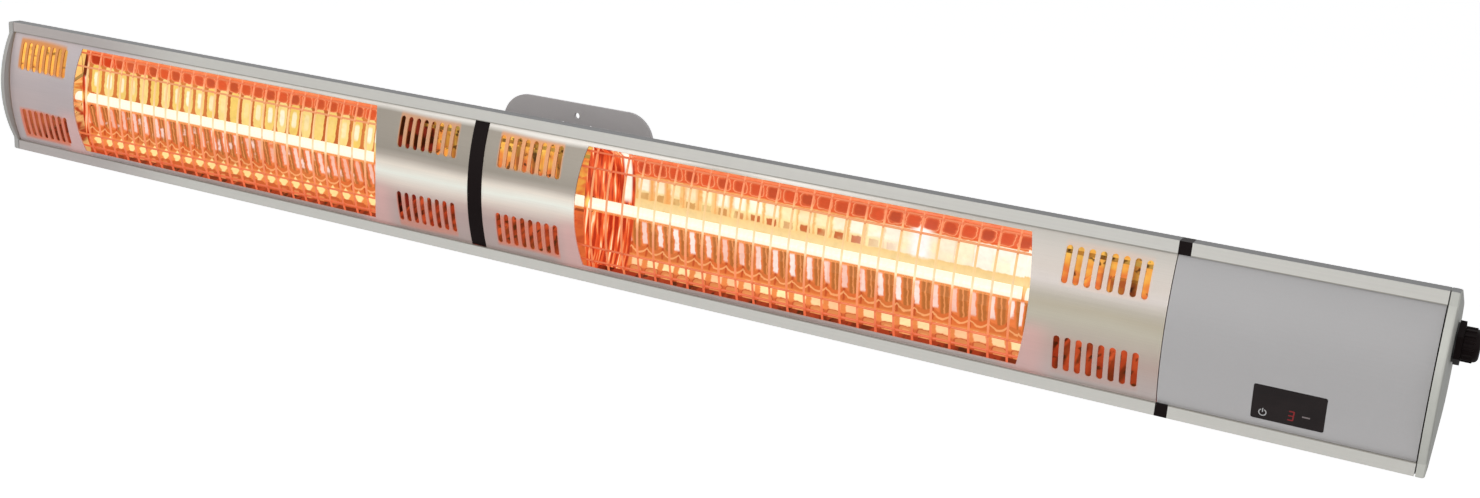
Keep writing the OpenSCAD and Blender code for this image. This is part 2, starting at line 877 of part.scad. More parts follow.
// Round lead between two points, with a slightly thicker ball at its start
module lead_between(from, to) {
    run = to - from;
    length = norm(run);
    translate(from) {
        sphere(r = lead_r + run_gap, $fn = round_faces / 2);
        rotate([0, acos(run[2] / length), atan2(run[1], run[0])])
            cylinder(r = lead_r, h = length, $fn = round_faces / 2);
    }
}

// Insulated leads: one run feeds the lamps' left ends, the other their right ends
module lamp_leads() {
    run_end = control_x + lead_overrun;
    lamps = [[left_window_start, left_window_len], [right_window_start, right_window_len]];
    color([0.75, 0.12, 0.08]) heater_frame() for (side = [-1, 1]) {
        ends = [for (lamp = lamps) let (starts = clip_starts(lamp[0], lamp[1]))
            side > 0 ? starts[0] : starts[1] + clip_len];
        for (end = ends) {
            turn = [end - side * lead_turn, lamp_depth, 0];
            corner = [turn[0], lead_y, side * lead_z];
            lead_between(turn, [end, lamp_depth, 0]);
            lead_between(corner, turn);
        }
        lead_between([run_end, lead_y, side * lead_z],
            [ends[0] - side * lead_turn, lead_y, side * lead_z]);
    }
}

// Panel of the control box with the opening for the display
module control_panel() {
    color([0.62, 0.63, 0.65]) heater_frame() difference() {
        along(spacer_x + seat_gap, right_gasket_x - spacer_x - 2 * seat_gap)
            polygon(sheet_section(cover_t));
        display_block(0);
    }
}

// Rounded block that cuts the display's outline from front to back
module display_block(inset) {
    w = display_w - 2 * inset;
    h = display_h - 2 * inset;
    r = display_corner_r - inset;
    depth = cover_bulge + rim_d;
    translate([total_len - display_from_right, -cover_bulge - overrun, -display_drop])
        rotate([-90, 0, 0]) linear_extrude(depth) {
            square([w - 2 * r, h], center = true);
            square([w, h - 2 * r], center = true);
            for (sx = [-1, 1], sz = [-1, 1])
                translate([sx * (w / 2 - r), sz * (h / 2 - r)])
                    circle(r = r, $fn = round_faces / 2);
        }
}

// Dark window that follows the panel's curve
module display_window() {
    color([0.05, 0.03, 0.03]) heater_frame() intersection() {
        display_block(screw_gap);
        along(total_len - display_from_right - display_w, 2 * display_w)
            polygon(concat(front_arc(0, lip_z - overrun),
                reversed(front_arc(display_t, lip_z - overrun))));
    }
}

// Puts pieces behind the display, square to the panel's face there
module behind_display(depth) {
    y = cover_face_y(display_drop);
    slope = cover_slope(display_drop);
    translate([total_len - display_from_right, y, -display_drop]) rotate([slope, 0, 0])
        translate([0, depth, 0]) children();
}

display_board_depth = display_t + display_board_gap;

module display_board() {
    w = display_w + 2 * display_board_margin;
    h = display_h - display_board_margin;
    stud = display_board_gap - cover_t + display_t - seat_gap;
    color([0.10, 0.35, 0.16]) heater_frame() behind_display(display_board_depth) {
        translate([-w / 2, 0, -h / 2]) cube([w, board_t, h]);
        for (sx = [-1, 1])
            rod_y(sx * (w / 2 - display_board_margin / 2), -stud, 0,
                display_board_margin / 2 - seat_gap, stud);
    }
}

module led_digit() {
    color([0.55, 0.05, 0.04]) heater_frame()
        behind_display(display_board_depth - digit_t)
            translate([-digit_w / 2, 0, -digit_h / 2]) cube([digit_w, digit_t, digit_h]);
}

module infrared_receiver() {
    color([0.08, 0.02, 0.04]) heater_frame()
        behind_display(display_board_depth - receiver_len) {
            rod_y(receiver_shift, 0, 0, receiver_r, receiver_len);
        }
}

// Control board upright in the control box, on standoffs from the back wall
control_board_x = control_x + (control_len - control_board_len) / 2 - standoff_r;
board_corners = [for (sx = [0, 1], sz = [-1, 1])
    [control_board_x + board_hole_inset + sx * (control_board_len - 2 * board_hole_inset),
        sz * (back_flat - standoff_r)]];

module control_board() {
    color([0.09, 0.33, 0.15]) heater_frame() difference() {
        translate([control_board_x, control_board_y, -control_board_h / 2])
            cube([control_board_len, board_t, control_board_h]);
        for (c = board_corners)
            rod_y(c[0], control_board_y - overrun, c[1], board_screw_r + screw_gap,
                board_t + 2 * overrun);
    }
}

module board_standoffs() {
    length = housing_d - wall_t - control_board_y - board_t;
    color([0.80, 0.72, 0.45]) heater_frame() for (c = board_corners) difference() {
        rod_y(c[0], control_board_y + board_t, c[1], standoff_r, length);
        rod_y(c[0], control_board_y + board_t - overrun, c[1], board_screw_r,
            length / 2 + overrun);
    }
}

module board_screws() {
    length = (housing_d - wall_t - control_board_y) / 2 - board_t;
    color([0.70, 0.70, 0.71]) heater_frame() for (c = board_corners) {
        rod_y(c[0], control_board_y - board_screw_head_t, c[1], board_screw_head_r,
            board_screw_head_t);
        rod_y(c[0], control_board_y, c[1], board_screw_r, length);
    }
}

module relays() {
    color([0.12, 0.20, 0.45]) heater_frame() for (i = [0, 1])
        translate([control_board_x + control_board_len / 2 - i * relay_pitch,
            control_board_y - relay_size[1], 0])
            cube(relay_size);
}

// Screw terminals for the mains, on the board
module terminal_block() {
    x = control_board_x + control_board_len / 2 - terminal_size[0] / 2;
    y = control_board_y - terminal_size[1];
    z = -terminal_size[2] - standoff_r;
    color([0.88, 0.88, 0.84]) heater_frame() difference() {
        translate([x, y, z]) cube(terminal_size);
        for (i = [0 : terminal_poles - 1])
            rod_y(x + terminal_size[0] * (i + 1 / 2) / terminal_poles, y - overrun,
                z + terminal_size[2] / 2, terminal_pole_r, terminal_size[1] / 2);
    }
}

// Earth screw through the back wall of the control box
earth_x = control_x + board_hole_inset + earth_head_r;

module earth_screw() {
    y = housing_d - wall_t;
    color([0.82, 0.70, 0.35]) heater_frame() {
        hex_y(earth_x, y - earth_head_t, 0, 2 * earth_head_r * cos(30), earth_head_t);
        rod_y(earth_x, y - earth_head_t, 0, earth_shank_r, earth_head_t + wall_t);
    }
}

// Cable gland: threaded body with a hexagon flange outside the right cap
gland_face_x = total_len + gland_washer_t;

module gland_body() {
    color([0.06, 0.06, 0.06]) heater_frame() difference() {
        union() {
            hex_x(gland_face_x, gland_depth, gland_z, gland_hex, gland_flange_t);
            rod_x(gland_face_x - gland_thread_len, gland_depth, gland_z, gland_thread_r,
                gland_thread_len);
            rod_x(gland_face_x + gland_flange_t, gland_depth, gland_z, gland_neck_r,
                gland_neck_len);
        }
        rod_x(gland_face_x - gland_thread_len - overrun, gland_depth, gland_z, gland_inner_r,
            gland_thread_len + gland_flange_t + gland_neck_len + 2 * overrun);
    }
}

module gland_seal() {
    length = gland_flange_t + gland_neck_len;
    color([0.12, 0.12, 0.12]) heater_frame() difference() {
        rod_x(gland_face_x, gland_depth, gland_z, gland_inner_r - run_gap, length);
        rod_x(gland_face_x - overrun, gland_depth, gland_z, cable_r, length + 2 * overrun);
    }
}

// Domed nut with grip ribs round it
module gland_nut() {
    x = gland_face_x + gland_flange_t + seat_gap;
    color([0.05, 0.05, 0.05]) heater_frame()
        translate([x, gland_depth, gland_z]) rotate([0, 90, 0]) {
            rotate_extrude($fn = round_faces) difference() {
                union() {
                    square([dome_r, dome_len - dome_end_r]);
                    square([dome_r - dome_end_r, dome_len]);
                    translate([dome_r - dome_end_r, dome_len - dome_end_r])
                        circle(r = dome_end_r, $fn = round_faces);
                }
                translate([0, -overrun])
                    square([gland_neck_r + run_gap, gland_neck_len + overrun]);
                translate([0, -overrun]) square([dome_mouth_r, dome_len + 2 * overrun]);
                translate([-dome_r, -overrun]) square([dome_r, dome_len + 2 * overrun]);
            }
            for (i = [0 : grip_count - 1])
                rotate([0, 0, 360 * i / grip_count]) translate([dome_r, 0, 0])
                    cylinder(r = grip_r, h = dome_len - dome_end_r, $fn = 8);
        }
}

module gland_washer() {
    color([0.10, 0.10, 0.10]) heater_frame() difference() {
        rod_x(total_len, gland_depth, gland_z, gland_hex / 2, gland_washer_t);
        rod_x(total_len - overrun, gland_depth, gland_z, gland_thread_r + run_gap,
            gland_washer_t + 2 * overrun);
    }
}

module gland_locknut() {
    x = right_cap_x - locknut_t;
    color([0.08, 0.08, 0.08]) heater_frame() difference() {
        hex_x(x, gland_depth, gland_z, gland_hex, locknut_t);
        rod_x(x - overrun, gland_depth, gland_z, gland_thread_r + run_gap,
            locknut_t + 2 * overrun);
    }
}

// Rounded wall plate with a triangle of screw holes above and below
module wall_plate() {
    color([0.66, 0.67, 0.68]) difference() {
        rotate([90, 0, 0]) linear_extrude(steel_t) {
            square([plate_w - 2 * plate_r, plate_h], center = true);
            square([plate_w, plate_h - 2 * plate_r], center = true);
            for (sx = [-1, 1], sz = [-1, 1])
                translate([sx * (plate_w / 2 - plate_r), sz * (plate_h / 2 - plate_r)])
                    circle(r = plate_r, $fn = 2 * round_faces);
        }
        for (sz = [-1, 1]) {
            for (sx = [-1, 1])
                rod_y(sx * screw_pair / 2, -steel_t - overrun, sz * screw_pair_z,
                    screw_hole_d / 2, steel_t + 2 * overrun);
            rod_y(0, -steel_t - overrun, sz * screw_single_z, screw_hole_d / 2,
                steel_t + 2 * overrun);
        }
        for (sx = [-1, 1], sz = [-1, 1])
            rod_y(sx * rivet_x, -steel_t - overrun, sz * rivet_z, rivet_r,
                steel_t + 2 * overrun);
    }
}

// Point where a line from an upper corner touches a circle round the pivot
function touch_point(corner, end_r) =
    let (
        reach = corner - [-pivot_y, 0],
        turn = acos(end_r / norm(reach)),
        a = atan2(reach[1], reach[0]) + (reach[0] > 0 ? turn : -turn)
    )
    [-pivot_y + end_r * cos(a), end_r * sin(a)];

// Plate across the tilt axis: from its root to a round end about the pivot
module pivot_plate(x, length, root_y, root_h, end_r) {
    corner = [root_y, root_h / 2];
    touch = touch_point(corner, end_r);
    along(x, length)
        polygon([corner, touch, [touch[0], -touch[1]], [corner[0], -corner[1]]]);
    rod_x(x, -pivot_y, 0, end_r, length);
}

// Hole for a tilt bolt across the bracket
module bolt_hole() {
    rod_x(-yoke_w, -pivot_y, 0, bolt_d / 2 + run_gap, 2 * yoke_w);
}

// U-shaped profile of the yoke seen from above, with rounded bends
module yoke_profile(w, back, front, r) {
    translate([-w / 2, front]) square([w, back - front - r]);
    translate([-w / 2 + r, front]) square([w - 2 * r, back - front]);
    for (side = [-1, 1])
        translate([side * (w / 2 - r), back - r]) circle(r = r, $fn = round_faces);
}

// Steel yoke: a bent channel with two cheeks that hold the tilt bolts
module yoke() {
    front = -pivot_y - cheek_end_r - overrun;
    inner_front = front - overrun;
    color([0.58, 0.59, 0.60]) difference() {
        intersection() {
            translate([0, 0, -cheek_root_h / 2]) linear_extrude(cheek_root_h) difference() {
                yoke_profile(yoke_w, -steel_t, front, yoke_bend_r);
                yoke_profile(yoke_w - 2 * steel_t, -2 * steel_t, inner_front,
                    yoke_bend_r - steel_t);
            }
            pivot_plate(-yoke_w / 2, yoke_w, -steel_t, cheek_root_h, cheek_end_r);
        }
        bolt_hole();
        for (sx = [-1, 1], sz = [-1, 1])
            rod_y(sx * rivet_x, -2 * steel_t - overrun, sz * rivet_z, rivet_r,
                steel_t + 2 * overrun);
    }
}

module yoke_rivets() {
    color([0.72, 0.72, 0.73]) for (sx = [-1, 1], sz = [-1, 1]) {
        rod_y(sx * rivet_x, -2 * steel_t, sz * rivet_z, rivet_r, 2 * steel_t);
        rod_y(sx * rivet_x, -2 * steel_t - rivet_head_t, sz * rivet_z, rivet_head_r,
            rivet_head_t);
    }
}

// Faces of the stack at each tilt bolt, from the cheek inwards
cheek_in_x = yoke_w / 2 - steel_t;
ear_out_x = cheek_in_x - washer_t - seat_gap;
ear_in_x = ear_out_x - steel_t;
nut_out_x = ear_in_x - seat_gap;

module friction_washers() {
    color([0.10, 0.10, 0.10]) difference() {
        for (side = [-1, 1])
            rod_x(side > 0 ? cheek_in_x - washer_t : -cheek_in_x, -pivot_y, 0, washer_r,
                washer_t);
        bolt_hole();
    }
}

module tilt_bolts() {
    shank = yoke_w / 2 - nut_out_x + nut_t + bolt_spare;
    color([0.70, 0.70, 0.71]) for (side = [0, 1]) mirror([side, 0, 0]) {
        hex_x(yoke_w / 2, -pivot_y, 0, bolt_head_hex, bolt_head_t);
        rod_x(yoke_w / 2 - shank, -pivot_y, 0, bolt_d / 2, shank);
    }
}

module tilt_nuts() {
    color([0.70, 0.70, 0.71]) difference() {
        for (side = [0, 1]) mirror([side, 0, 0])
            hex_x(nut_out_x - nut_t, -pivot_y, 0, bolt_head_hex, nut_t);
        bolt_hole();
    }
}

// Steel saddle on the heater's back: a plate with two ears that turn on the bolts
module saddle() {
    color([0.66, 0.67, 0.68]) difference() {
        union() {
            translate([-saddle_w / 2, -wall_gap, -saddle_h / 2])
                cube([saddle_w, steel_t, saddle_h]);
            for (x = [ear_in_x, -ear_out_x])
                pivot_plate(x, steel_t, -wall_gap, ear_root_h, ear_end_r);
        }
        bolt_hole();
        for (sx = [-1, 1], sz = [-1, 1])
            rod_y(sx * saddle_screw_x, -wall_gap - overrun, sz * saddle_screw_z,
                saddle_screw_r + screw_gap, steel_t + 2 * overrun);
    }
}

module saddle_screws() {
    inside = wall_t + backing_t;
    color([0.70, 0.70, 0.71]) for (sx = [-1, 1], sz = [-1, 1]) {
        hex_y(sx * saddle_screw_x, -wall_gap + steel_t, sz * saddle_screw_z,
            saddle_head_hex, saddle_head_t);
        rod_y(sx * saddle_screw_x, -wall_gap - inside, sz * saddle_screw_z, saddle_screw_r,
            inside + steel_t);
    }
}

// Threaded steel strip inside the housing that takes the saddle's screws
module backing_plate() {
    y = -wall_gap - wall_t - backing_t;
    color([0.60, 0.60, 0.61]) difference() {
        translate([-backing_w / 2, y, -backing_h / 2]) cube([backing_w, backing_t, backing_h]);
        for (sx = [-1, 1], sz = [-1, 1])
            rod_y(sx * saddle_screw_x, y - overrun, sz * saddle_screw_z,
                saddle_screw_r + run_gap, backing_t + 2 * overrun);
    }
}

wall_plate();
yoke();
yoke_rivets();
tilt_bolts();
tilt_nuts();
friction_washers();
saddle();
saddle_screws();
backing_plate();
housing();
control_housing();
section_spacer();
heat_shield();
left_end_cap();
right_end_cap();
left_cap_gasket();
right_cap_gasket();
left_cap_screws();
right_cap_screws();
left_cover();
right_cover();
joint_strip();
joint_bridge();
left_guard();
right_guard();
left_reflector();
right_reflector();
left_reflector_ends();
right_reflector_ends();
left_lamp_tube();
right_lamp_tube();
left_filament();
right_filament();
left_lamp_caps();
right_lamp_caps();
left_lamp_clips();
right_lamp_clips();
left_clip_brackets();
right_clip_brackets();
thermal_cutout();
lamp_leads();
control_panel();
display_window();
display_board();
led_digit();
infrared_receiver();
control_board();
relays();
terminal_block();
board_standoffs();
board_screws();
earth_screw();
gland_body();
gland_nut();
gland_seal();
gland_locknut();
gland_washer();
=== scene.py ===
"""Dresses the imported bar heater: finishes, glowing coils, display marks, light and camera."""

import logging
import math
from dataclasses import dataclass, field
from enum import Enum
from typing import Iterable, Union

import bpy
from mathutils import Matrix, Vector


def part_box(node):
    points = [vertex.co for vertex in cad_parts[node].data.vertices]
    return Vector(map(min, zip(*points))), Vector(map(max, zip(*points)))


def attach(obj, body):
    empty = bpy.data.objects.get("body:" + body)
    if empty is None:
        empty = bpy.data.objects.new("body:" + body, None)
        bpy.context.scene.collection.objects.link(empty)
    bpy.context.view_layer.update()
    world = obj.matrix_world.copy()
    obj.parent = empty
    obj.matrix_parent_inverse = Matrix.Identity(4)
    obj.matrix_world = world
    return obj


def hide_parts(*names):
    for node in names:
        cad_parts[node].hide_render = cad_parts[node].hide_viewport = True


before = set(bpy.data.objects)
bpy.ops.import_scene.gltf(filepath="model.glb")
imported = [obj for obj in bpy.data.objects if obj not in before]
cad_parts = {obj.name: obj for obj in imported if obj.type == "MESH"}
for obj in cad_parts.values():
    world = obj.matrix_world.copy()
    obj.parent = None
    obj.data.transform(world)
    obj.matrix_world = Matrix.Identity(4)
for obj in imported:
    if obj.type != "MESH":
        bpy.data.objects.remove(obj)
log = logging.getLogger("heater")

Triple = tuple[float, float, float]
Colour = Triple
Shades = tuple[Colour, Colour]
Span = tuple[float, float]
Stops = tuple[tuple[float, Colour], ...]
Layers = list[tuple["Value", object]]
Number = Union[int, float]
Term = Union["Value", int, float]
MM = 0.001
WHITE: Colour = (1.0, 1.0, 1.0)


class Maths(Enum):
    """Operations of a Math node that the finishes use."""

    ADD = "ADD"
    SUBTRACT = "SUBTRACT"
    MULTIPLY = "MULTIPLY"
    POWER = "POWER"
    SINE = "SINE"
    ABSOLUTE = "ABSOLUTE"
    FRACTION = "FRACT"
    FLOOR = "FLOOR"
    SMALLER = "MINIMUM"
    LARGER = "MAXIMUM"
    LESS = "LESS_THAN"
    ROOT = "SQRT"


class Value:
    """A number that varies over a surface, with Python's arithmetic on it."""

    def __init__(self, tree: "Tree", socket: bpy.types.NodeSocket) -> None:
        """Wraps a socket.

        Args:
            tree: The tree that new Math nodes go into.
            socket: The output socket that carries the number.
        """
        self.tree = tree
        self.socket = socket

    def _do(self, operation: Maths, *terms: Term) -> "Value":
        """Adds one Math node.

        Args:
            operation: What the node does.
            terms: What it does that to.

        Returns:
            The node's result.
        """
        inputs = dict(enumerate(terms))
        made = self.tree.node("ShaderNodeMath", {"operation": operation.value}, inputs)
        return Value(self.tree, made.outputs[0])

    def __add__(self, other: Term) -> "Value":
        """Sum."""
        return self._do(Maths.ADD, self, other)

    __radd__ = __add__

    def __sub__(self, other: Term) -> "Value":
        """Difference."""
        return self._do(Maths.SUBTRACT, self, other)

    def __rsub__(self, other: Number) -> "Value":
        """Difference from a plain number."""
        return self._do(Maths.SUBTRACT, other, self)

    def __mul__(self, other: Term) -> "Value":
        """Product."""
        return self._do(Maths.MULTIPLY, self, other)

    __rmul__ = __mul__

    def __pow__(self, other: Number) -> "Value":
        """Power."""
        return self._do(Maths.POWER, self, other)

    def __abs__(self) -> "Value":
        """Absolute value."""
        return self._do(Maths.ABSOLUTE, self)

    def __neg__(self) -> "Value":
        """Value with its sign turned."""
        return self._do(Maths.MULTIPLY, self, -1.0)

    def below(self, limit: Term) -> "Value":
        """One where the value is below a limit, else zero."""
        return self._do(Maths.LESS, self, limit)

    def least(self, other: Term) -> "Value":
        """The smaller of two."""
        return self._do(Maths.SMALLER, self, other)

    def most(self, other: Term) -> "Value":
        """The larger of two."""
        return self._do(Maths.LARGER, self, other)

    def sine(self) -> "Value":
        """Sine of the value in radians."""
        return self._do(Maths.SINE, self)

    def fraction(self) -> "Value":
        """Part after the decimal point."""
        return self._do(Maths.FRACTION, self)

    def whole(self) -> "Value":
        """Part before the decimal point."""
        return self._do(Maths.FLOOR, self)

    def root(self) -> "Value":
        """Square root."""
        return self._do(Maths.ROOT, self)

    def step(self, low: float, high: float) -> "Value":
        """Smooth rise from 0 to 1.

        Args:
            low: Value at which the rise starts, or ends where it is the larger.
            high: Value at which the result reaches 1.

        Returns:
            The smoothed share between the two.
        """
        made = self.tree.node(
            "ShaderNodeMapRange",
            {"interpolation_type": "SMOOTHSTEP"},
            {"Value": self, "From Min": low, "From Max": high},
        )
        return Value(self.tree, made.outputs["Result"])

    def band(self, low: float, high: float, soft: float) -> "Value":
        """One between two values, with soft edges of a given width."""
        return self.step(low - soft, low + soft) * self.step(high + soft, high - soft)

    def about(self, middle: float, spread: float) -> "Value":
        """Spreads a value of 0 to 1 evenly about a middle one."""
        return self * spread + (middle - spread / 2)


class Tree:
    """A tree of nodes that is being filled."""

    def __init__(self, nodes: bpy.types.NodeTree) -> None:
        """Takes over a tree.

        Args:
            nodes: The tree of a material or of the world.
        """
        self.nodes = nodes

    def node(
        self, kind: str, settings: dict[str, object], inputs: dict[object, object]
    ) -> bpy.types.Node:
        """Adds one node.

        Args:
            kind: Type of the node.
            settings: Its settings, set first; "stops" fills a colour ramp.
            inputs: Values or links of its sockets, by name or number.

        Returns:
            The new node.
        """
        made = self.nodes.nodes.new(kind)
        for key, value in settings.items():
            if key == "stops":
                ramp = made.color_ramp
                while len(ramp.elements) < len(value):
                    ramp.elements.new(1.0)
                for element, (place, colour) in zip(ramp.elements, value):
                    element.position = place
                    element.color = (*colour, 1.0)
            else:
                setattr(made, key, value)
        for key, value in inputs.items():
            self.feed(made.inputs[key], value)
        return made

    def feed(self, socket: bpy.types.NodeSocket, value: object) -> None:
        """Links or sets one input socket.

        Args:
            socket: The input to fill.
            value: A Value, an output socket, a colour, a vector or a number.
        """
        if isinstance(value, Value):
            self.nodes.links.new(value.socket, socket)
        elif isinstance(value, bpy.types.NodeSocket):
            self.nodes.links.new(value, socket)
        elif isinstance(value, tuple) and len(value) == 3 and socket.type == "RGBA":
            socket.default_value = (*value, 1.0)
        else:
            socket.default_value = value

    def light_path(self, *rays: str) -> Value:
        """Tells which rays the surface or the world is seen by.

        Args:
            rays: Names of the kinds of ray, as on the Light Path node.

        Returns:
            One for a ray of one of these kinds, else zero.
        """
        path = self.node("ShaderNodeLightPath", {}, {})
        first, *others = (Value(self, path.outputs[ray]) for ray in rays)
        for other in others:
            first = first.most(other)
        return first


class Shader(Tree):
    """A material that is being built, with its Principled shader."""

    def __init__(self, name: str) -> None:
        """Makes an empty node material.

        Args:
            name: Name of the material.
        """
        self.material = bpy.data.materials.new(name)
        self.material.use_nodes = True
        super().__init__(self.material.node_tree)
        self.surface = self.nodes.nodes["Principled BSDF"]
        self._places: tuple[Value, Value, Value] | None = None

    def place(self) -> tuple[Value, Value, Value]:
        """Object coordinates in millimetres, as x, y and z."""
        if self._places is None:
            where = self.node("ShaderNodeTexCoord", {}, {})
            parts = self.node(
                "ShaderNodeSeparateXYZ", {}, {"Vector": where.outputs["Object"]}
            )
            self._places = tuple(
                Value(self, parts.outputs[axis]) * (1 / MM) for axis in "XYZ"
            )
        return self._places

    def vector(self, x: object, y: object, z: object) -> bpy.types.NodeSocket:
        """Joins three numbers to a vector."""
        made = self.node("ShaderNodeCombineXYZ", {}, {"X": x, "Y": y, "Z": z})
        return made.outputs["Vector"]

    def noise_at(self, where: bpy.types.NodeSocket, detail: float = 2.0) -> Value:
        """Smooth noise from 0 to 1 at a place.

        Args:
            where: The place, as a vector whose unit is one cycle.
            detail: Octaves of finer noise.

        Returns:
            The noise.
        """
        made = self.node(
            "ShaderNodeTexNoise", {}, {"Vector": where, "Scale": 1.0, "Detail": detail}
        )
        return Value(self, made.outputs["Fac"])

    def noise(self, cycles: Union[float, Triple], detail: float = 2.0) -> Value:
        """Smooth noise from 0 to 1 over the surface.

        Args:
            cycles: Cycles per millimetre, alike or along x, y and z.
            detail: Octaves of finer noise.

        Returns:
            The noise.
        """
        if isinstance(cycles, float):
            cycles = (cycles,) * 3
        where = self.vector(*(axis * each for axis, each in zip(self.place(), cycles)))
        return self.noise_at(where, detail)

    def ramp(self, value: Value, stops: Stops) -> bpy.types.NodeSocket:
        """Colour ramp over a value from 0 to 1."""
        made = self.node("ShaderNodeValToRGB", {"stops": stops}, {"Fac": value})
        return made.outputs["Color"]

    def mix(self, share: object, first: object, second: object) -> bpy.types.NodeSocket:
        """Blends two colours.

        Args:
            share: Share of the second colour.
            first: First colour or its socket.
            second: Second colour or its socket.

        Returns:
            The blended colour.
        """
        made = self.node(
            "ShaderNodeMix", {"data_type": "RGBA"}, {0: share, 6: first, 7: second}
        )
        return made.outputs[2]

    def layers(self, base: object, *over: tuple[Value, object]) -> bpy.types.NodeSocket:
        """Lays colours over a first one.

        Args:
            base: The first colour.
            over: Shares and colours of the layers, from the lowest up.

        Returns:
            The colour of them all.
        """
        for share, colour in over:
            base = self.mix(share, base, colour)
        return base

    def times(self, colour: object, share: object) -> bpy.types.NodeSocket:
        """Colour multiplied by a number."""
        made = self.node(
            "ShaderNodeVectorMath", {"operation": "SCALE"}, {0: colour, "Scale": share}
        )
        return made.outputs[0]

    def bump(self, height: Value, depth_mm: float) -> None:
        """Feeds a bump to the shader's normal.

        Args:
            height: Height pattern from 0 to 1.
            depth_mm: Depth of the pattern in millimetres.
        """
        made = self.node(
            "ShaderNodeBump", {}, {"Height": height, "Distance": depth_mm * MM}
        )
        self.feed(self.surface.inputs["Normal"], made.outputs["Normal"])

    def set(self, **inputs: object) -> None:
        """Sets or links inputs of the Principled shader.

        Args:
            inputs: Values by the inputs' names, in small letters with underscores.
        """
        for key, value in inputs.items():
            socket = key.replace("_", " ").title().replace("Ior", "IOR")
            self.feed(self.surface.inputs[socket], value)

    def shine(self, colour: object, strength: float = 1.0, sampled: bool = True) -> None:
        """Makes the surface glow.

        Args:
            colour: Colour of the glow.
            strength: Strength of the glow.
            sampled: Whether the renderer treats the surface as a light.
        """
        self.set(emission_color=colour, emission_strength=strength)
        if not sampled:
            self.material.cycles.emission_sampling = "NONE"


@dataclass(frozen=True)
class Section:
    """Section of the extruded housings, in millimetres."""

    half_height: float
    depth: float
    lip_y: float

    @classmethod
    def measured(cls) -> "Section":
        """Takes the section from the housing's box."""
        low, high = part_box("housing")
        return cls(high[2] / MM, (high[1] - low[1]) / MM, low[1] / MM)


SECTION = Section.measured()
# Painted shade on the top and bottom rims of the housings and caps
RIM_SHADE: Colour = (0.13, 0.13, 0.13)
# Noise of one cycle in 50 millimetres, for paint and paper
BROAD = 0.02


@dataclass(frozen=True)
class Finish:
    """A named finish that is painted on a new material.

    Lengths and places in the finishes are in millimetres. Heights in a window or on a
    cover are shares of it, from 0 at the lower edge to 1 at the upper edge.
    """

    name: str

    def paint(self, shader: Shader) -> None:
        """Sets the looks of a material, in each kind of finish."""
        raise NotImplementedError

    def build(self) -> bpy.types.Material:
        """Makes the material.

        Returns:
            The finished material.
        """
        shader = Shader(self.name)
        self.paint(shader)
        return shader.material


@dataclass(frozen=True)
class PlainFinish(Finish):
    """Even finish with fine grain: paint, moulded plastic, plated steel, rubber."""

    colour: Colour
    roughness: float
    metallic: float = 0.0
    grain: float = 1.2
    grain_depth: float = 0.02
    mottle: float = 0.05
    specular: float = 0.5
    # Share by which the colour grows darker per millimetre of height
    darken_up: float = 0.0

    def paint(self, shader: Shader) -> None:
        """Paints the colour with a little mottle, and makes it darker upwards by a share per
        millimetre of height.

        Args:
            shader: Shader of the material.
        """
        fine = shader.noise(self.grain, 3.0)
        broad = shader.noise(BROAD)
        share = (fine * 0.5 + broad * 0.5 - 0.5) * (2 * self.mottle) + 1.0
        if self.darken_up:
            share = share * (1.0 - shader.place()[2] * self.darken_up)
        shader.set(
            base_color=shader.times(self.colour, share),
            roughness=fine.about(self.roughness, 0.12),
            metallic=self.metallic,
            specular_ior_level=self.specular,
        )
        shader.bump(fine, self.grain_depth)


@dataclass(frozen=True)
class ChamberLight:
    """Light inside the vent chambers: yellow above, red-orange below.

    Two bands in it are the lit ends of the reflectors. The view comes from the right, so
    a face that lies deeper shows them further left, by the slopes here. Depths count from
    a plane that stands ahead of the lips.
    """

    ahead: float = 5.0
    height: float = 110.0
    colours: Stops = (
        (0.00, (0.30, 0.025, 0.008)),
        (0.22, (0.62, 0.09, 0.028)),
        (0.45, (0.78, 0.19, 0.045)),
        (0.60, (0.88, 0.36, 0.06)),
        (0.78, (0.94, 0.52, 0.10)),
        (1.00, (1.00, 0.76, 0.18)),
    )
    left_slope: float = 1.17
    left_band: Span = (-491.0, -462.0)
    left_colour: Colour = (0.96, 0.62, 0.22)
    far_left: Span = (-492.0, -498.0)
    far_colour: Colour = (1.0, 0.40, 0.04)
    right_slope: float = 0.64
    right_band: Span = (90.0, 114.0)
    right_colour: Colour = (0.78, 0.15, 0.04)
    band_edge: float = 3.0

    def glow(self, shader: Shader) -> bpy.types.NodeSocket:
        """Works out the colour of the light on a surface.

        Args:
            shader: The shader that the nodes go into.

        Returns:
            The light's colour.
        """
        x, y, z = shader.place()
        patches = shader.noise((0.050, 0.03, 0.10))
        spots = shader.noise((0.16, 0.08, 0.16))
        columns = shader.noise((0.13, 0.02, 0.004), 1.0)
        height = (z * (1 / self.height) + 0.5) + (patches - 0.5) * 0.8
        deep = y - (SECTION.lip_y - self.ahead)
        from_left = x + deep * self.left_slope
        left_end = from_left.band(*self.left_band, self.band_edge)
        far_left = from_left.step(*self.far_left)
        right_end = x + deep * self.right_slope
        right_end = right_end.band(*self.right_band, self.band_edge)
        glow = shader.layers(
            shader.ramp(height, self.colours),
            (left_end * patches.step(0.40, 0.55) * 0.6, self.left_colour),
            (right_end * patches.step(0.62, 0.45) * 0.8, self.right_colour),
            (far_left * height.step(0.50, 0.65) * 0.5, self.far_colour),
        )
        share = (spots.step(0.33, 0.44) * 0.85 + 0.15) * (columns.step(0.36, 0.54) * 0.6 + 0.4)
        share = share.most((left_end + right_end) * 0.9)
        share = share * (1.0 - far_left * height.step(0.45, 0.35) * 0.55)
        return shader.times(glow, share)


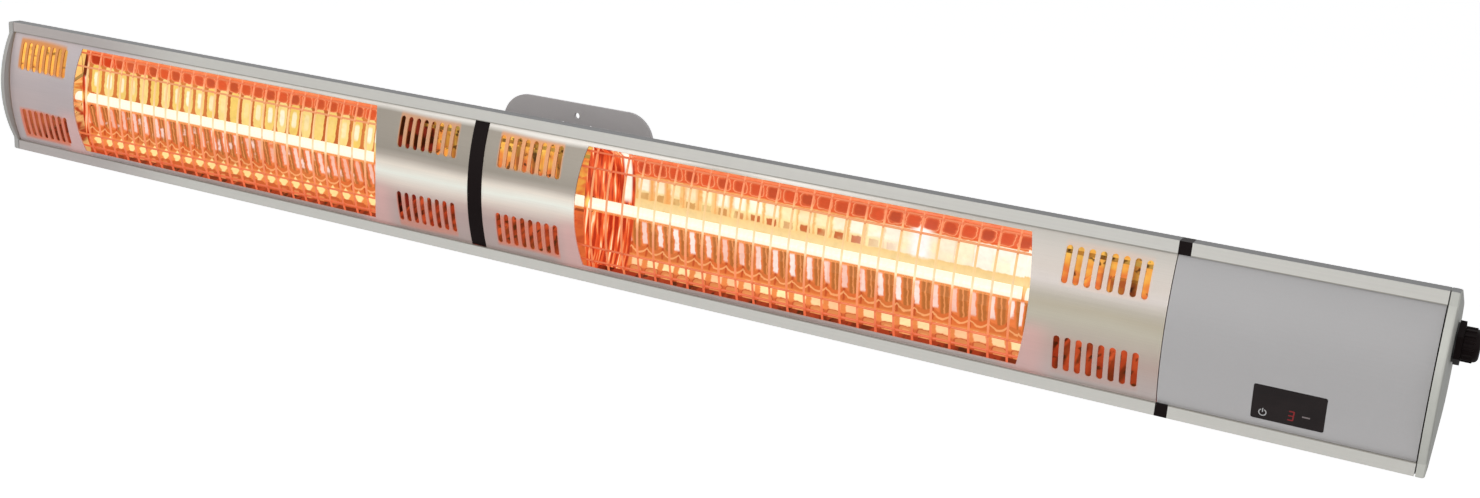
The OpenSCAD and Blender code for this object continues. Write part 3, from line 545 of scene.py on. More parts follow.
@dataclass(frozen=True)
class HotFinish(Finish):
    """Metal or ceramic in the lamps' glow, seen through windows and vents."""

    colour: Colour
    strength: float = 1.0
    colour_share: float = 0.15
    light: ChamberLight = ChamberLight()

    def paint(self, shader: Shader) -> None:
        """Paints a dark surface that shows the chambers' light.

        Args:
            shader: Shader of the material.
        """
        shader.set(
            base_color=shader.times(self.colour, self.colour_share),
            roughness=shader.noise(0.8).about(0.45, 0.2),
            metallic=0.3,
        )
        shader.shine(self.light.glow(shader), self.strength)


@dataclass(frozen=True)
class HousingFinish(Finish):
    """Pale lacquered aluminium outside, with painted shade on the rims and a painted shadow
    line at the lips, and the lamps' glow on the walls inside.

    A face is an inner one where it lies further in from the section's outline than the
    skin, and further behind the lips' front than the lips' skin.
    """

    colour: Colour = (0.66, 0.645, 0.60)
    far_colour: Colour = (0.53, 0.48, 0.46)
    far_zone: Span = (-330.0, -470.0)
    rim_depth: float = 12.0
    lip_edge: float = 54.6
    line_half: float = 0.5
    # Painted shadow in the gap where the lips meet the covers
    gap_shadow_colour: Colour = (0.22, 0.20, 0.16)
    side_angle: float = math.radians(22)
    back_radius: float = 26.0
    skin: Span = (0.9, 1.2)
    lip_skin: Span = (2.2, 2.6)
    inner_colour: Colour = (0.05, 0.02, 0.012)
    hot: bool = True
    light: ChamberLight = ChamberLight()

    def inside(self, deep: Value, high: Value) -> Value:
        """Finds the inner walls by their distance from the section's outline.

        Args:
            deep: Distance behind the lips.
            high: Distance above or below the middle.

        Returns:
            One on the inner walls, zero on the outer faces.
        """
        half_height, depth, radius = SECTION.half_height, SECTION.depth, self.back_radius
        sin, cos = math.sin(self.side_angle), math.cos(self.side_angle)
        reach = sin * self.rim_depth + cos * half_height
        wall = (half_height - high).least(depth - deep)
        wall = wall.least(reach - deep * sin - high * cos)
        centre_z = (reach - sin * (depth - radius) - radius) / cos
        dy = (deep - (depth - radius)).most(0.0)
        dz = (high - centre_z).most(0.0)
        ahead = dy.below(radius * sin) * depth
        corner = radius - (dy * dy + dz * dz).root() + ahead
        return wall.least(corner).step(*self.skin) * deep.step(*self.lip_skin)

    def paint(self, shader: Shader) -> None:
        """Paints the outer faces, the painted shade on the rims, the painted shadow line in the
        gap at the lips, and the inner walls.

        Args:
            shader: Shader of the material.
        """
        x, y, z = shader.place()
        rows = shader.noise((0.004, 1.4, 1.4), 3.0)
        fine = shader.noise(1.0)
        deep, high = y - SECTION.lip_y, abs(z)
        inside = self.inside(deep, high)
        tone = shader.mix(x.step(*self.far_zone), self.colour, self.far_colour)
        # Painted shade along the top and bottom rims
        rim_shade = high.step(SECTION.half_height - 0.8, SECTION.half_height - 0.3)
        # Painted shadow line in the gap at the lips' edge
        gap_shadow = high.band(self.lip_edge - self.line_half,
                         self.lip_edge + self.line_half, 0.2) * deep.below(3.0)
        colour = shader.layers(
            shader.times(tone, rows.about(1.0, 0.10)),
            (rim_shade * deep.step(0.2, 0.8), RIM_SHADE),
            (gap_shadow * 0.7, self.gap_shadow_colour),
            (inside, self.inner_colour),
        )
        shader.set(base_color=colour, roughness=fine.about(0.41, 0.10), metallic=0.2)
        if self.hot:
            shader.shine(shader.times(self.light.glow(shader), inside))
        shader.bump(rows, 0.02)


@dataclass(frozen=True)
class CapFinish(Finish):
    """Painted end cap, with painted shade on its top and bottom edges.

    The left cap's inner face lies in the lamps' light and shows through the vents. The whole
    left cap and the right cap's outer face are painted darker, as painted shade.
    """

    colour: Colour = (0.60, 0.60, 0.55)
    # Painted shade: the left cap's darker copy of the paint
    left_colour: Colour = (0.44, 0.43, 0.41)
    # Painted shade on the right cap's outer face, as a share of the paint
    outer_shade_share: float = 0.72
    outer_face: float = 762.6
    inner_face: float = -573.0
    wall: float = 7.0
    front_wall: float = 5.0
    light: ChamberLight = ChamberLight()

    def paint(self, shader: Shader) -> None:
        """Paints both caps, told apart by their place along the heater, with painted shade on
        the left cap, on the right cap's outer face and on the edges.

        Args:
            shader: Shader of the material.
        """
        x, y, z = shader.place()
        fine = shader.noise(1.2, 3.0)
        broad = shader.noise(BROAD)
        half_height, front = SECTION.half_height, SECTION.lip_y
        # Painted shade along the caps' top and bottom edges
        rim_shade = (abs(z).step(half_height - 1.0, half_height - 0.4)
               * (y - front).step(0.2, 1.0))
        # The left cap takes the darker copy, as painted shade
        tone = shader.mix(x.step(1.0, -1.0), self.colour, self.left_colour)
        # Painted shade on the right cap's outer face
        outer_shade_mask = x.step(self.outer_face - 1.2, self.outer_face - 0.6)
        shade = shader.times(self.colour, broad.about(self.outer_shade_share, 0.08))
        lit = x.band(self.inner_face - 0.2, self.inner_face + 0.2, 0.1)
        lit = lit * abs(z).below(half_height - self.wall)
        lit = lit * (-y).below(-front - self.front_wall)
        colour = shader.layers(
            shader.times(tone, broad.about(1.0, 0.10)), (outer_shade_mask, shade), (rim_shade, RIM_SHADE)
        )
        shader.set(base_color=colour, roughness=fine.about(0.42, 0.12), metallic=0.1)
        shader.shine(shader.times(self.light.glow(shader), lit))
        shader.bump(fine, 0.02)


@dataclass(frozen=True)
class CoverFinish(Finish):
    """Brushed sheet whose tone, with painted reflections and highlights, follows its curve,
    tinted by the lamps' painted light near the windows.
    """

    grain: Triple = (0.02, 0.5, 6.0)
    height: float = 120.0
    left_tones: Shades = ((0.64, 0.53, 0.52), (0.56, 0.50, 0.51))
    middle_zone: Span = (-470.0, -300.0)
    # Painted reflections over the sheet's tone: a bright highlight across the middle, darker
    # bands, and a pale line under the top lip
    middle_tone_and_sheen: Stops = (
        (0.04, (0.58, 0.47, 0.44)),
        (0.28, (0.60, 0.44, 0.41)),
        (0.36, (0.72, 0.55, 0.49)),
        (0.42, (0.92, 0.80, 0.70)),
        (0.475, (1.0, 1.0, 0.90)),
        (0.525, (0.92, 0.83, 0.72)),
        (0.575, (0.48, 0.42, 0.36)),
        (0.62, (0.34, 0.30, 0.25)),
        (0.90, (0.33, 0.29, 0.24)),
        (0.935, (0.80, 0.76, 0.70)),
    )
    right_zone: Span = (250.0, 450.0)
    # Painted reflections over the sheet's tone, in brighter and darker bands across the height
    right_tone_and_sheen: Stops = (
        (0.08, (0.66, 0.57, 0.54)),
        (0.25, (0.63, 0.48, 0.42)),
        (0.38, (0.62, 0.54, 0.45)),
        (0.46, (0.61, 0.56, 0.45)),
        (0.525, (0.53, 0.47, 0.36)),
        (0.575, (0.50, 0.45, 0.37)),
        (0.675, (0.62, 0.56, 0.52)),
        (0.76, (0.54, 0.48, 0.43)),
        (0.92, (0.44, 0.41, 0.37)),
    )
    window_ends: tuple[float, ...] = (-488.0, -111.0, 97.0, 484.0)
    window_reach: Span = (28.0, 4.0)
    window_tint: Colour = (0.98, 0.56, 0.52)
    vent_starts: tuple[float, ...] = (-561.0, -87.5, 18.0, 505.5)
    vent_tints: tuple[float, ...] = (0.88, 0.50, 0.70, 0.14)
    vent_length: float = 63.2
    vent_rows: Span = (0.17, 0.41)
    low_warm: Colour = (0.94, 0.25, 0.13)
    high_warm: Colour = (0.90, 0.34, 0.10)
    far_left: Span = (-490.0, -496.0)
    far_warm: Colour = (0.80, 0.28, 0.03)

    def paint(self, shader: Shader) -> None:
        """Paints the sheet's tones with their painted reflections and highlights, the painted
        tints of the lamps' light at the windows and the vents' painted glow.

        Args:
            shader: Shader of the material.
        """
        x, _, z = shader.place()
        brush = shader.noise(self.grain, 4.0)
        drift = shader.noise((0.006, 0.0, 0.02), 1.0)
        height = z * (1 / self.height) + 0.5 + (drift - 0.5) * 0.12
        low = height.step(0.45, 0.30)
        windows = [(abs(x - end).step(*self.window_reach) * low * 0.6, self.window_tint)
                   for end in self.window_ends]
        upper = shader.mix(x.step(*self.far_left), self.high_warm, self.far_warm)
        warm = shader.mix(height.step(0.45, 0.55), self.low_warm, upper)
        rows = abs(height - 0.5).band(*self.vent_rows, 0.02)
        vents = [(x.band(start, start + self.vent_length, 1.5) * rows * tint, warm)
                 for start, tint in zip(self.vent_starts, self.vent_tints)]
        # Painted reflections, painted light at the windows and painted glow at the vents, over
        # the sheet's tone
        tone = shader.layers(
            shader.mix(drift.step(0.3, 0.7), *self.left_tones),
            (x.step(*self.middle_zone), shader.ramp(height, self.middle_tone_and_sheen)),
            (x.step(*self.right_zone), shader.ramp(height, self.right_tone_and_sheen)),
            *windows,
            *vents,
        )
        shader.set(
            base_color=shader.times(tone, brush.about(1.0, 0.20)),
            roughness=brush.about(0.39, 0.14),
            metallic=0.35,
        )
        shader.bump(brush, 0.03)


@dataclass(frozen=True)
class TroughLook:
    """How one lamp's light lies in its trough.

    Attributes:
        lean: Millimetres that the cells move along for each one that they lie deeper.
        end_zone: Length of the red left end, in millimetres.
        lobes: Share of the slanting lobes above the lamp.
        spots: Share of the round spots that take the place of the dashes below it.
        tiles: Share of the brown squares and of the flare above it.
        white_from: Share of the length past which the cells turn white.
        lower: Colour of the wide band below the lamp.
        streak: Colour of the bright streaks in that band.
    """

    lean: float
    end_zone: float
    lobes: float
    spots: float
    tiles: float
    white_from: float
    lower: Colour
    streak: Colour

    def bands(self) -> Stops:
        """Colours of the bands from the window's lower edge to its upper edge."""
        return (
            (0.00, (0.42, 0.05, 0.015)),
            (0.080, (0.60, 0.11, 0.030)),
            (0.095, (0.78, 0.22, 0.06)),
            (0.180, (0.80, 0.26, 0.07)),
            (0.195, (0.70, 0.15, 0.035)),
            (0.270, (0.66, 0.13, 0.03)),
            (0.285, self.lower),
            (0.470, self.lower),
            (0.490, (0.78, 0.24, 0.06)),
            (0.520, (0.86, 0.38, 0.11)),
            (0.580, (0.92, 0.56, 0.18)),
            (0.600, (0.90, 0.70, 0.34)),
            (0.660, (0.88, 0.62, 0.26)),
            (0.700, (0.90, 0.68, 0.30)),
            (0.790, (0.92, 0.78, 0.44)),
            (0.850, (0.88, 0.58, 0.22)),
            (0.866, (0.82, 0.26, 0.08)),
            (0.874, (0.74, 0.10, 0.030)),
            (0.985, (0.68, 0.07, 0.022)),
            (1.000, (0.84, 0.24, 0.10)),
        )


@dataclass(frozen=True)
class CellRows:
    """Where the cells lie.

    Rows are heights, as shares of the window's height. Runs say where along the trough
    some of the cells show, as shares of its length.
    """

    warm_run: Span = (0.10, 0.36)
    square_run: Span = (0.12, 0.74)
    flare_run: Span = (0.785, 0.825)
    tiles: float = 0.926
    bright: Span = (0.665, 0.862)
    flare: Span = (0.66, 0.90)
    cores: Span = (0.742, 0.842)
    lobes: Span = (0.590, 0.886)
    lobe_middle: float = 0.735
    squares: Span = (0.668, 0.724)
    streak_top: Span = (0.495, 0.475)
    streak_foot: Span = (0.248, 0.262)
    short_streaks: Span = (0.292, 0.470)
    pale_streaks: Span = (0.30, 0.45)
    fold: Span = (0.190, 0.290)
    fold_line: Span = (0.206, 0.222)
    dashes: Span = (0.102, 0.172)
    spots: float = 0.140
    low_tiles: float = 0.055


@dataclass(frozen=True)
class CellColours:
    """Colours of the light in the cells.

    Where there are two shades, chance, the place or the look of the trough mixes them.
    """

    core: Colour = (1.0, 0.96, 0.78)
    border: Colour = (0.82, 0.40, 0.12)
    warm: Colour = (0.86, 0.36, 0.09)
    squares: Shades = ((0.62, 0.34, 0.11), (0.52, 0.13, 0.04))
    flash: Colour = (1.0, 0.97, 0.84)
    speck: Colour = (0.96, 0.90, 0.42)
    flare: Colour = (1.0, 1.0, 0.96)
    lobe: Shades = ((0.86, 0.60, 0.14), (0.94, 0.78, 0.34))
    lobe_gap: Shades = ((0.46, 0.10, 0.022), (0.64, 0.20, 0.05))
    lobe_core: Colour = (1.0, 0.96, 0.72)
    tile_rim: Colour = (0.94, 0.40, 0.20)
    tile: Colour = (0.66, 0.09, 0.030)
    tile_core: Shades = ((0.42, 0.030, 0.010), (0.72, 0.06, 0.015))
    fold: Colour = (0.56, 0.17, 0.045)
    fold_gap: Colour = (0.46, 0.05, 0.012)
    fold_line: Colour = (0.94, 0.44, 0.18)
    wide_streak: Colour = (0.80, 0.20, 0.055)
    dark_streak: Colour = (0.40, 0.13, 0.03)
    thin_streak: Colour = (0.92, 0.34, 0.12)
    dash: Shades = ((1.0, 0.56, 0.30), (1.0, 0.82, 0.42))
    spot: Colour = (1.0, 0.76, 0.32)
    low_tile_rim: Colour = (0.40, 0.04, 0.012)
    low_tile: Shades = ((0.66, 0.22, 0.07), (0.52, 0.08, 0.02))
    low_tile_core: Colour = (0.86, 0.36, 0.13)
    end: Shades = ((0.40, 0.018, 0.006), (0.76, 0.08, 0.02))
    end_fold: Colour = (0.92, 0.30, 0.10)
    end_crest: Colour = (1.0, 0.76, 0.48)
    end_middle: Colour = (1.0, 0.66, 0.16)
    end_flash: Colour = (1.0, 0.95, 0.80)
    end_shade: Colour = (0.10, 0.008, 0.004)


@dataclass(frozen=True)
class Cells:
    """Where a point of the trough lies among the cells.

    Attributes:
        run: Distance from the trough's left end, in millimetres.
        along: That distance as a share of the trough's length.
        count: That distance in cells, a whole number at each border.
        height: Height in the window, from 0 to 1.
        patches: Broad noise at the point.
    """

    run: Value
    along: Value
    count: Value
    height: Value
    patches: Value

    def edge(self) -> Value:
        """Distance from the middle of the cell, as a share of its width."""
        return abs(self.count.fraction() - 0.5)

    def chance(self, turn: float, shift: float = 0.0) -> Value:
        """A number from 0 to 1 that is the same all over a cell."""
        angle = self.count.whole() * turn
        return (angle + shift if shift else angle).sine() * 0.5 + 0.5


@dataclass(frozen=True)
class TroughFinish(Finish):
    """Polished trough full of the lamp's mirrored light, in bands and cells.

    The bands run along the trough. Heights and runs are measured as seen from the front,
    a little from above and from the right, so a deeper facet carries its band lower
    and its cells further on. Depths count from a plane that stands ahead of the lips. The
    bulkheads at the ends carry the pattern on.
    """

    start: float
    length: float
    look: TroughLook
    rows: CellRows = CellRows()
    colours: CellColours = CellColours()
    ahead: float = 7.0
    sight_slope: float = 0.318
    sight_shift: float = 2.6
    window_height: float = 101.0
    front_depth: float = 22.0
    cell: float = 15.0
    flash_share: Span = (0.76, 0.92)
    shade_run: Span = (3.0, 13.0)
    shade_rows: Span = (0.74, 0.97)
    # Dim red painted glow on the trough's back
    back: Shades = ((0.012, 0.002, 0.001), (0.17, 0.014, 0.008))
    sheet: Shades = ((0.03, 0.008, 0.004), (0.10, 0.04, 0.015))

    def paint(self, shader: Shader) -> None:
        """Paints the light on the trough's front and a dim red painted glow on its back.

        Args:
            shader: Shader of the material.
        """
        x, y, z = shader.place()
        patches = shader.noise((0.045, 0.05, 0.08), 3.0)
        fine = shader.noise(0.22)
        blur = shader.noise((0.012, 0.02, 0.02), 1.0)
        deep = y - SECTION.lip_y + self.ahead
        drop = deep * self.sight_slope - self.sight_shift
        waver = (patches - 0.5) * 2.0 + (fine - 0.5) * 2.2
        run = x - self.start + deep * self.look.lean
        at = Cells(
            run=run,
            along=run * (1 / self.length),
            count=run * (1 / self.cell) + (fine - 0.5) * 0.16,
            height=(z + drop + waver) * (1 / self.window_height) + 0.5,
            patches=patches,
        )
        lit = shader.layers(
            shader.ramp(at.height, self.look.bands()),
            *self.upper_cells(shader, at),
            *self.lobes_and_tiles(shader, at),
            *self.lower_cells(shader, at),
            *self.end_glow(shader, at),
        )
        uneven = blur * 0.3 + fine * 0.3 + 0.70
        inside = x.band(self.start - 0.5, self.start + self.length + 0.5, 0.1)
        inside = inside.most(deep.below(self.front_depth))
        # Dim red painted glow where the trough's back shows
        back = shader.mix(patches.step(0.42, 0.56), *self.back)
        shader.set(
            base_color=shader.mix(inside, *self.sheet),
            roughness=0.35,
            metallic=0.3,
            specular_ior_level=0.15,
        )
        shader.shine(shader.mix(inside, back, shader.times(lit, uneven)), sampled=False)

    def upper_cells(self, shader: Shader, at: Cells) -> Layers:
        """Draws the bright cells, the brown squares and the flare above the lamp.

        Args:
            shader: The shader that the nodes go into.
            at: Place among the cells.

        Returns:
            The layers to lay over the bands.
        """
        look, rows, colours = self.look, self.rows, self.colours
        edge, height, along = at.edge(), at.height, at.along
        chance, other = at.chance(7.13), at.chance(3.71, 1.0)
        core = edge.step(0.42, 0.34) * height.band(*rows.cores, 0.012)
        bright = height.band(*rows.bright, 0.006)
        warm = bright * along.band(*rows.warm_run, 0.08) * edge.step(0.22, 0.36)
        square = edge.step(0.31, 0.25) * height.band(*rows.squares, 0.007)
        shown = along.band(*rows.square_run, 0.05) * look.tiles
        brown = shader.mix(along.step(0.30, 0.45), *colours.squares)
        white = bright * along.step(look.white_from, look.white_from + 0.22)
        speck = (at.patches - 0.5) * 1.4 + other * 0.6
        flare = along.band(*rows.flare_run, 0.012) * height.band(*rows.flare, 0.02)
        return [
            (core * (chance * 0.8 + 0.2), colours.core),
            (bright * edge.step(0.40, 0.46) * 0.8, colours.border),
            (warm * (other * 0.5 + 0.5), colours.warm),
            (square * shown, brown),
            (white * (chance * 0.5 + 0.5), colours.flash),
            (bright * speck.step(0.30, 0.60) * 0.35, colours.speck),
            (flare * look.tiles, colours.flare),
        ]

    def lobes_and_tiles(self, shader: Shader, at: Cells) -> Layers:
        """Draws the slanting lobes above the lamp and the red tiles over them.

        Args:
            shader: The shader that the nodes go into.
            at: Place among the cells.

        Returns:
            The layers to lay over the upper cells.
        """
        rows, colours, height = self.rows, self.colours, at.height
        chance, other = at.chance(7.13), at.chance(3.71, 1.0)
        leaning = abs((at.count - height * 0.75 + 0.55).fraction() - 0.5)
        lens = (leaning * 2.60) ** 4 + ((height - rows.lobe_middle) * 6.7) ** 4
        zone = height.band(*rows.lobes, 0.008) * self.look.lobes
        gap = shader.mix(chance, *colours.lobe_gap)
        lobe = shader.mix(other * 0.6, *colours.lobe)
        tile = (at.edge() * 2.5) ** 4 + ((height - rows.tiles) * 21.0) ** 4
        return [
            (zone, shader.mix(lens.step(1.15, 0.75), gap, lobe)),
            (lens.step(0.10, 0.01) * zone * chance, colours.lobe_core),
            (tile.step(1.5, 1.2) * 0.7, colours.tile_rim),
            (tile.step(1.0, 0.7), colours.tile),
            (tile.step(0.60, 0.10), shader.mix(other * 0.7, *colours.tile_core)),
        ]

    def lower_cells(self, shader: Shader, at: Cells) -> Layers:
        """Draws the leaning streaks, the dashes and the tiles below the lamp.

        Args:
            shader: The shader that the nodes go into.
            at: Place among the cells.

        Returns:
            The layers to lay over the bands below the lamp.
        """
        look, rows, colours = self.look, self.rows, self.colours
        edge, height, chance = at.edge(), at.height, at.chance(5.37)
        lean = (at.count + height * (1.5 - at.along * look.tiles * 1.5)).fraction()
        rounded = height - edge * edge * 0.16
        fold = height.band(*rows.fold, 0.008)
        zone = rounded.step(*rows.streak_foot) * height.step(*rows.streak_top)
        short = height.band(*rows.short_streaks, 0.012) * lean.band(0.08, 0.36, 0.035)
        shown = at.patches.step(0.25, 0.40) * (chance * 0.5 + 0.5)
        pale = height.band(*rows.pale_streaks, 0.02) * lean.band(0.54, 0.78, 0.05)
        dash = edge.step(0.38, 0.28) * height.band(*rows.dashes, 0.008)
        spot = (edge * 1.3 + abs(height - rows.spots) * 7.5).step(0.54, 0.36)
        tile = (edge * 2.5) ** 4 + ((height - rows.low_tiles) * 24.0) ** 4
        return [
            (fold * chance * 0.6, colours.fold),
            (fold * edge.step(0.40, 0.48) * 0.8, colours.fold_gap),
            (rounded.band(*rows.fold_line, 0.004) * 0.8, colours.fold_line),
            (zone * lean.band(0.00, 0.44, 0.04), colours.wide_streak),
            (zone * lean.band(0.50, 0.92, 0.05), colours.dark_streak),
            (zone * lean.band(0.66, 0.74, 0.03) * 0.7, colours.thin_streak),
            (short * shown, look.streak),
            (pale * look.lobes * at.patches.step(0.50, 0.62), look.streak),
            (dash * (1.0 - look.spots), shader.mix(chance, *colours.dash)),
            (spot * look.spots, colours.spot),
            (tile.step(1.5, 1.1) * 0.7, colours.low_tile_rim),
            (tile.step(0.9, 0.5), shader.mix(look.spots, *colours.low_tile)),
            (tile.step(0.12, 0.02) * chance * 0.7, colours.low_tile_core),
        ]

    def end_glow(self, shader: Shader, at: Cells) -> Layers:
        """Draws the red left end with its upright flashes, and the shade beside it.

        Args:
            shader: The shader that the nodes go into.
            at: Place among the cells.

        Returns:
            The layers to lay over the cells.
        """
        zone, colours, height = self.look.end_zone, self.colours, at.height
        upright = shader.place()[2] * 0.03
        folds = shader.noise_at(shader.vector(at.run * 0.34, upright, 0.0))
        tall = at.run.band(*(zone * share for share in self.flash_share), 1.2)
        red = shader.layers(
            shader.mix(folds.step(0.42, 0.52), *colours.end),
            (folds.step(0.54, 0.60), colours.end_fold),
            (folds.step(0.62, 0.68), colours.end_crest),
            (height.band(0.50, 0.58, 0.03) * folds.step(0.35, 0.55), colours.end_middle),
            (tall * height.step(0.60, 0.66), colours.end_flash),
        )
        shade = at.run.band(*self.shade_run, 1.5) * height.band(*self.shade_rows, 0.02)
        return [
            (at.run.step(zone + 1.0, zone - 1.0), red),
            (shade * self.look.lobes, colours.end_shade),
        ]


@dataclass(frozen=True)
class GuardFinish(Finish):
    """Bright wire that catches the lamp's light, redder before the trough's red end."""

    height: float = 104.0
    colours: Stops = (
        (0.04, (0.84, 0.15, 0.06)),
        (0.20, (0.92, 0.26, 0.10)),
        (0.36, (0.92, 0.34, 0.17)),
        (0.48, (0.96, 0.50, 0.24)),
        (0.52, (1.00, 0.86, 0.56)),
        (0.64, (0.98, 0.66, 0.30)),
        (0.82, (0.96, 0.58, 0.25)),
        (0.88, (0.90, 0.26, 0.11)),
    )
    end_zone: Span = (80.0, 146.0)
    end_colour: Colour = (0.86, 0.24, 0.09)
    rail_heights: Span = (33.3, 46.0)
    rail_half: float = 1.1
    rail_colour: Colour = (0.64, 0.09, 0.03)
    wire_colour: Colour = (0.16, 0.07, 0.04)

    def paint(self, shader: Shader) -> None:
        """Paints the light along the upright wires and darker long wires.

        Args:
            shader: Shader of the material.
        """
        x, _, z = shader.place()
        patches = shader.noise((0.05, 0.05, 0.06))
        height = z * (1 / self.height) + 0.5 + (patches - 0.5) * 0.12
        end = x.band(*self.end_zone, 6.0)
        rails = [abs(z).band(middle - self.rail_half, middle + self.rail_half, 0.2)
                 for middle in self.rail_heights]
        glow = shader.layers(
            shader.ramp(height, self.colours),
            (end * 0.75, self.end_colour),
            *((rail * (end * 0.35 + 0.5), self.rail_colour) for rail in rails),
        )
        shader.set(base_color=self.wire_colour, roughness=0.3, metallic=0.6)
        shader.shine(shader.times(glow, patches.about(0.90, 0.4)), sampled=False)


@dataclass(frozen=True)
class CoilFinish(Finish):
    """White-hot filament, dull on its underside."""

    strength: float = 2.2
    white: Shades = ((1.0, 0.90, 0.66), (1.0, 0.97, 0.86))
    dull: Colour = (0.40, 0.15, 0.04)
    underside: Span = (-2.2, -1.2)
    wire_colour: Colour = (0.3, 0.25, 0.2)

    def paint(self, shader: Shader) -> None:
        """Paints the wire's glow, with a slow flicker along it.

        Args:
            shader: Shader of the material.
        """
        white = shader.mix(shader.noise((0.12, 0.5, 0.5)), *self.white)
        upper = shader.place()[2].step(*self.underside)
        shader.set(base_color=self.wire_colour, roughness=0.5)
        shader.shine(shader.mix(upper, self.dull, white), self.strength, sampled=False)


@dataclass(frozen=True)
class TubeFinish(Finish):
    """Quartz tube filled with the filament's light, clearer on its underside."""

    glow: Shades = ((0.70, 0.26, 0.07), (1.0, 0.93, 0.76))
    underside: Span = (-2.8, -1.8)
    glass: Colour = (0.20, 0.10, 0.05)

    def paint(self, shader: Shader) -> None:
        """Paints the tube's glow and how much it hides the coil.

        Args:
            shader: Shader of the material.
        """
        haze = shader.noise((0.03, 0.1, 0.1))
        upper = shader.place()[2].step(*self.underside)
        shader.set(
            base_color=self.glass,
            roughness=0.08,
            alpha=upper * 0.40 + haze * 0.1 + 0.35,
        )
        shader.shine(shader.mix(upper, *self.glow), sampled=False)


@dataclass(frozen=True)
class DisplayFinish(Finish):
    """Dark glossy window with a power sign, a red digit and a small pale dash.

    The signs' places are measured in millimetres from the middle of the window.
    """

    centre_x: float
    centre_z: float
    sign_place: Span = (-16.5, -7.6)
    ring_radius: float = 2.4
    gap_half: float = 1.1
    gap_foot: float = 0.6
    bar_place: float = 1.8
    bar_half: float = 1.5
    line_half: float = 0.34
    digit_place: Span = (2.6, -5.6)
    digit_slant: float = 0.08
    digit_half: float = 3.4
    rung_half: float = 1.7
    post_half: float = 1.9
    stroke_half: float = 0.45
    dash_place: Span = (12.0, -4.4)
    dash_half: Span = (2.6, 0.55)
    glass: Shades = ((0.008, 0.005, 0.005), (0.022, 0.014, 0.014))
    sign_colour: Colour = (0.55, 0.55, 0.55)
    dash_colour: Colour = (0.24, 0.20, 0.20)
    digit_colour: Colour = (0.20, 0.008, 0.010)

    def sign(self, across: Value, up: Value) -> Value:
        """Draws the power sign: an open ring with a bar in its gap.

        Args:
            across: Distance to the right of the window's middle.
            up: Distance above it.

        Returns:
            One on the sign, else zero.
        """
        x, z = across - self.sign_place[0], up - self.sign_place[1]
        ring = abs((x * x + z * z).root() - self.ring_radius).below(self.line_half)
        gap = abs(x).below(self.gap_half) * (self.gap_foot - z).below(0.0)
        bar = abs(x).below(self.line_half) * abs(z - self.bar_place).below(self.bar_half)
        return (ring * (1.0 - gap)).most(bar)

    def digit(self, across: Value, up: Value) -> Value:
        """Draws a three: three rungs with two posts on their right.

        Args:
            across: Distance to the right of the window's middle.
            up: Distance above it.

        Returns:
            One on the digit, else zero.
        """
        lean = across - self.digit_place[0] - up * self.digit_slant
        high = up - self.digit_place[1]
        rungs = [(0.0, self.digit_half * row, self.rung_half, self.stroke_half)
                 for row in (1, 0, -1)]
        posts = [(self.rung_half, self.digit_half * row / 2, self.stroke_half, self.post_half)
                 for row in (1, -1)]
        drawn = [abs(lean - x).below(half_width) * abs(high - z).below(half_height)
                 for x, z, half_width, half_height in rungs + posts]
        digit = drawn[0]
        for stroke in drawn[1:]:
            digit = digit.most(stroke)
        return digit

    def paint(self, shader: Shader) -> None:
        """Paints the glass, the two pale signs and the lit digit.

        Args:
            shader: Shader of the material.
        """
        x, _, z = shader.place()
        across, up = x - self.centre_x, z - self.centre_z
        dash = (abs(across - self.dash_place[0]).below(self.dash_half[0])
                * abs(up - self.dash_place[1]).below(self.dash_half[1]))
        smear = shader.noise((0.05, 0.05, 0.09), 3.0)
        glass = shader.mix(smear, *self.glass)
        signs = ((dash, self.dash_colour), (self.sign(across, up), self.sign_colour))
        shader.set(
            base_color=shader.layers(glass, *signs),
            roughness=smear.about(0.19, 0.10),
            specular_ior_level=0.3,
        )
        shader.shine(shader.times(self.digit_colour, self.digit(across, up)))


@dataclass
class LampSizes:
    """Sizes of a lamp's coil, in millimetres."""

    coil_radius: float = 3.2
    wire_radius: float = 0.55
    pitch: float = 4.4
    steps: int = 12
    sides: int = 6


@dataclass
class Lamp:
    """One lamp, whose wound filament stands for the CAD rod."""

    side: str
    sizes: LampSizes = field(default_factory=LampSizes)

    def build(self) -> bpy.types.Object:
        """Winds the filament along the lamp.

        Returns:
            The coil.
        """
        low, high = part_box(f"{self.side}_filament")
        centre = (Vector(low) + Vector(high)) / 2
        s = self.sizes
        length = (high[0] - low[0]) - 2 * s.wire_radius * MM
        turns = int(length / (s.pitch * MM))
        bpy.ops.object.select_all(action="DESELECT")
        bpy.ops.mesh.primitive_circle_add(
            vertices=s.sides,
            radius=s.wire_radius * MM,
            location=(low[0] + s.wire_radius * MM, centre.y, centre.z),
        )
        coil = bpy.context.object
        coil.name = f"{self.side}_coil"
        bpy.ops.object.mode_set(mode="EDIT")
        bpy.ops.mesh.select_all(action="SELECT")
        bpy.ops.transform.translate(value=(0, s.coil_radius * MM, 0))
        bpy.ops.object.mode_set(mode="OBJECT")
        screw = coil.modifiers.new("wind", "SCREW")
        screw.axis = "X"
        screw.angle = 2 * math.pi
        screw.screw_offset = length / turns
        screw.iterations = turns
        screw.steps = screw.render_steps = s.steps
        bpy.ops.object.modifier_apply(modifier=screw.name)
        bpy.ops.object.transform_apply(location=True, rotation=True, scale=True)
        bpy.ops.object.mode_set(mode="EDIT")
        bpy.ops.mesh.select_all(action="DESELECT")
        bpy.ops.mesh.select_mode(type="EDGE")
        bpy.ops.mesh.select_non_manifold()
        bpy.ops.mesh.fill_holes(sides=0)
        bpy.ops.mesh.select_all(action="SELECT")
        bpy.ops.mesh.normals_make_consistent(inside=False)
        bpy.ops.object.mode_set(mode="OBJECT")
        bpy.ops.object.shade_smooth()
        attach(coil, "heater")
        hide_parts(f"{self.side}_filament")
        return coil


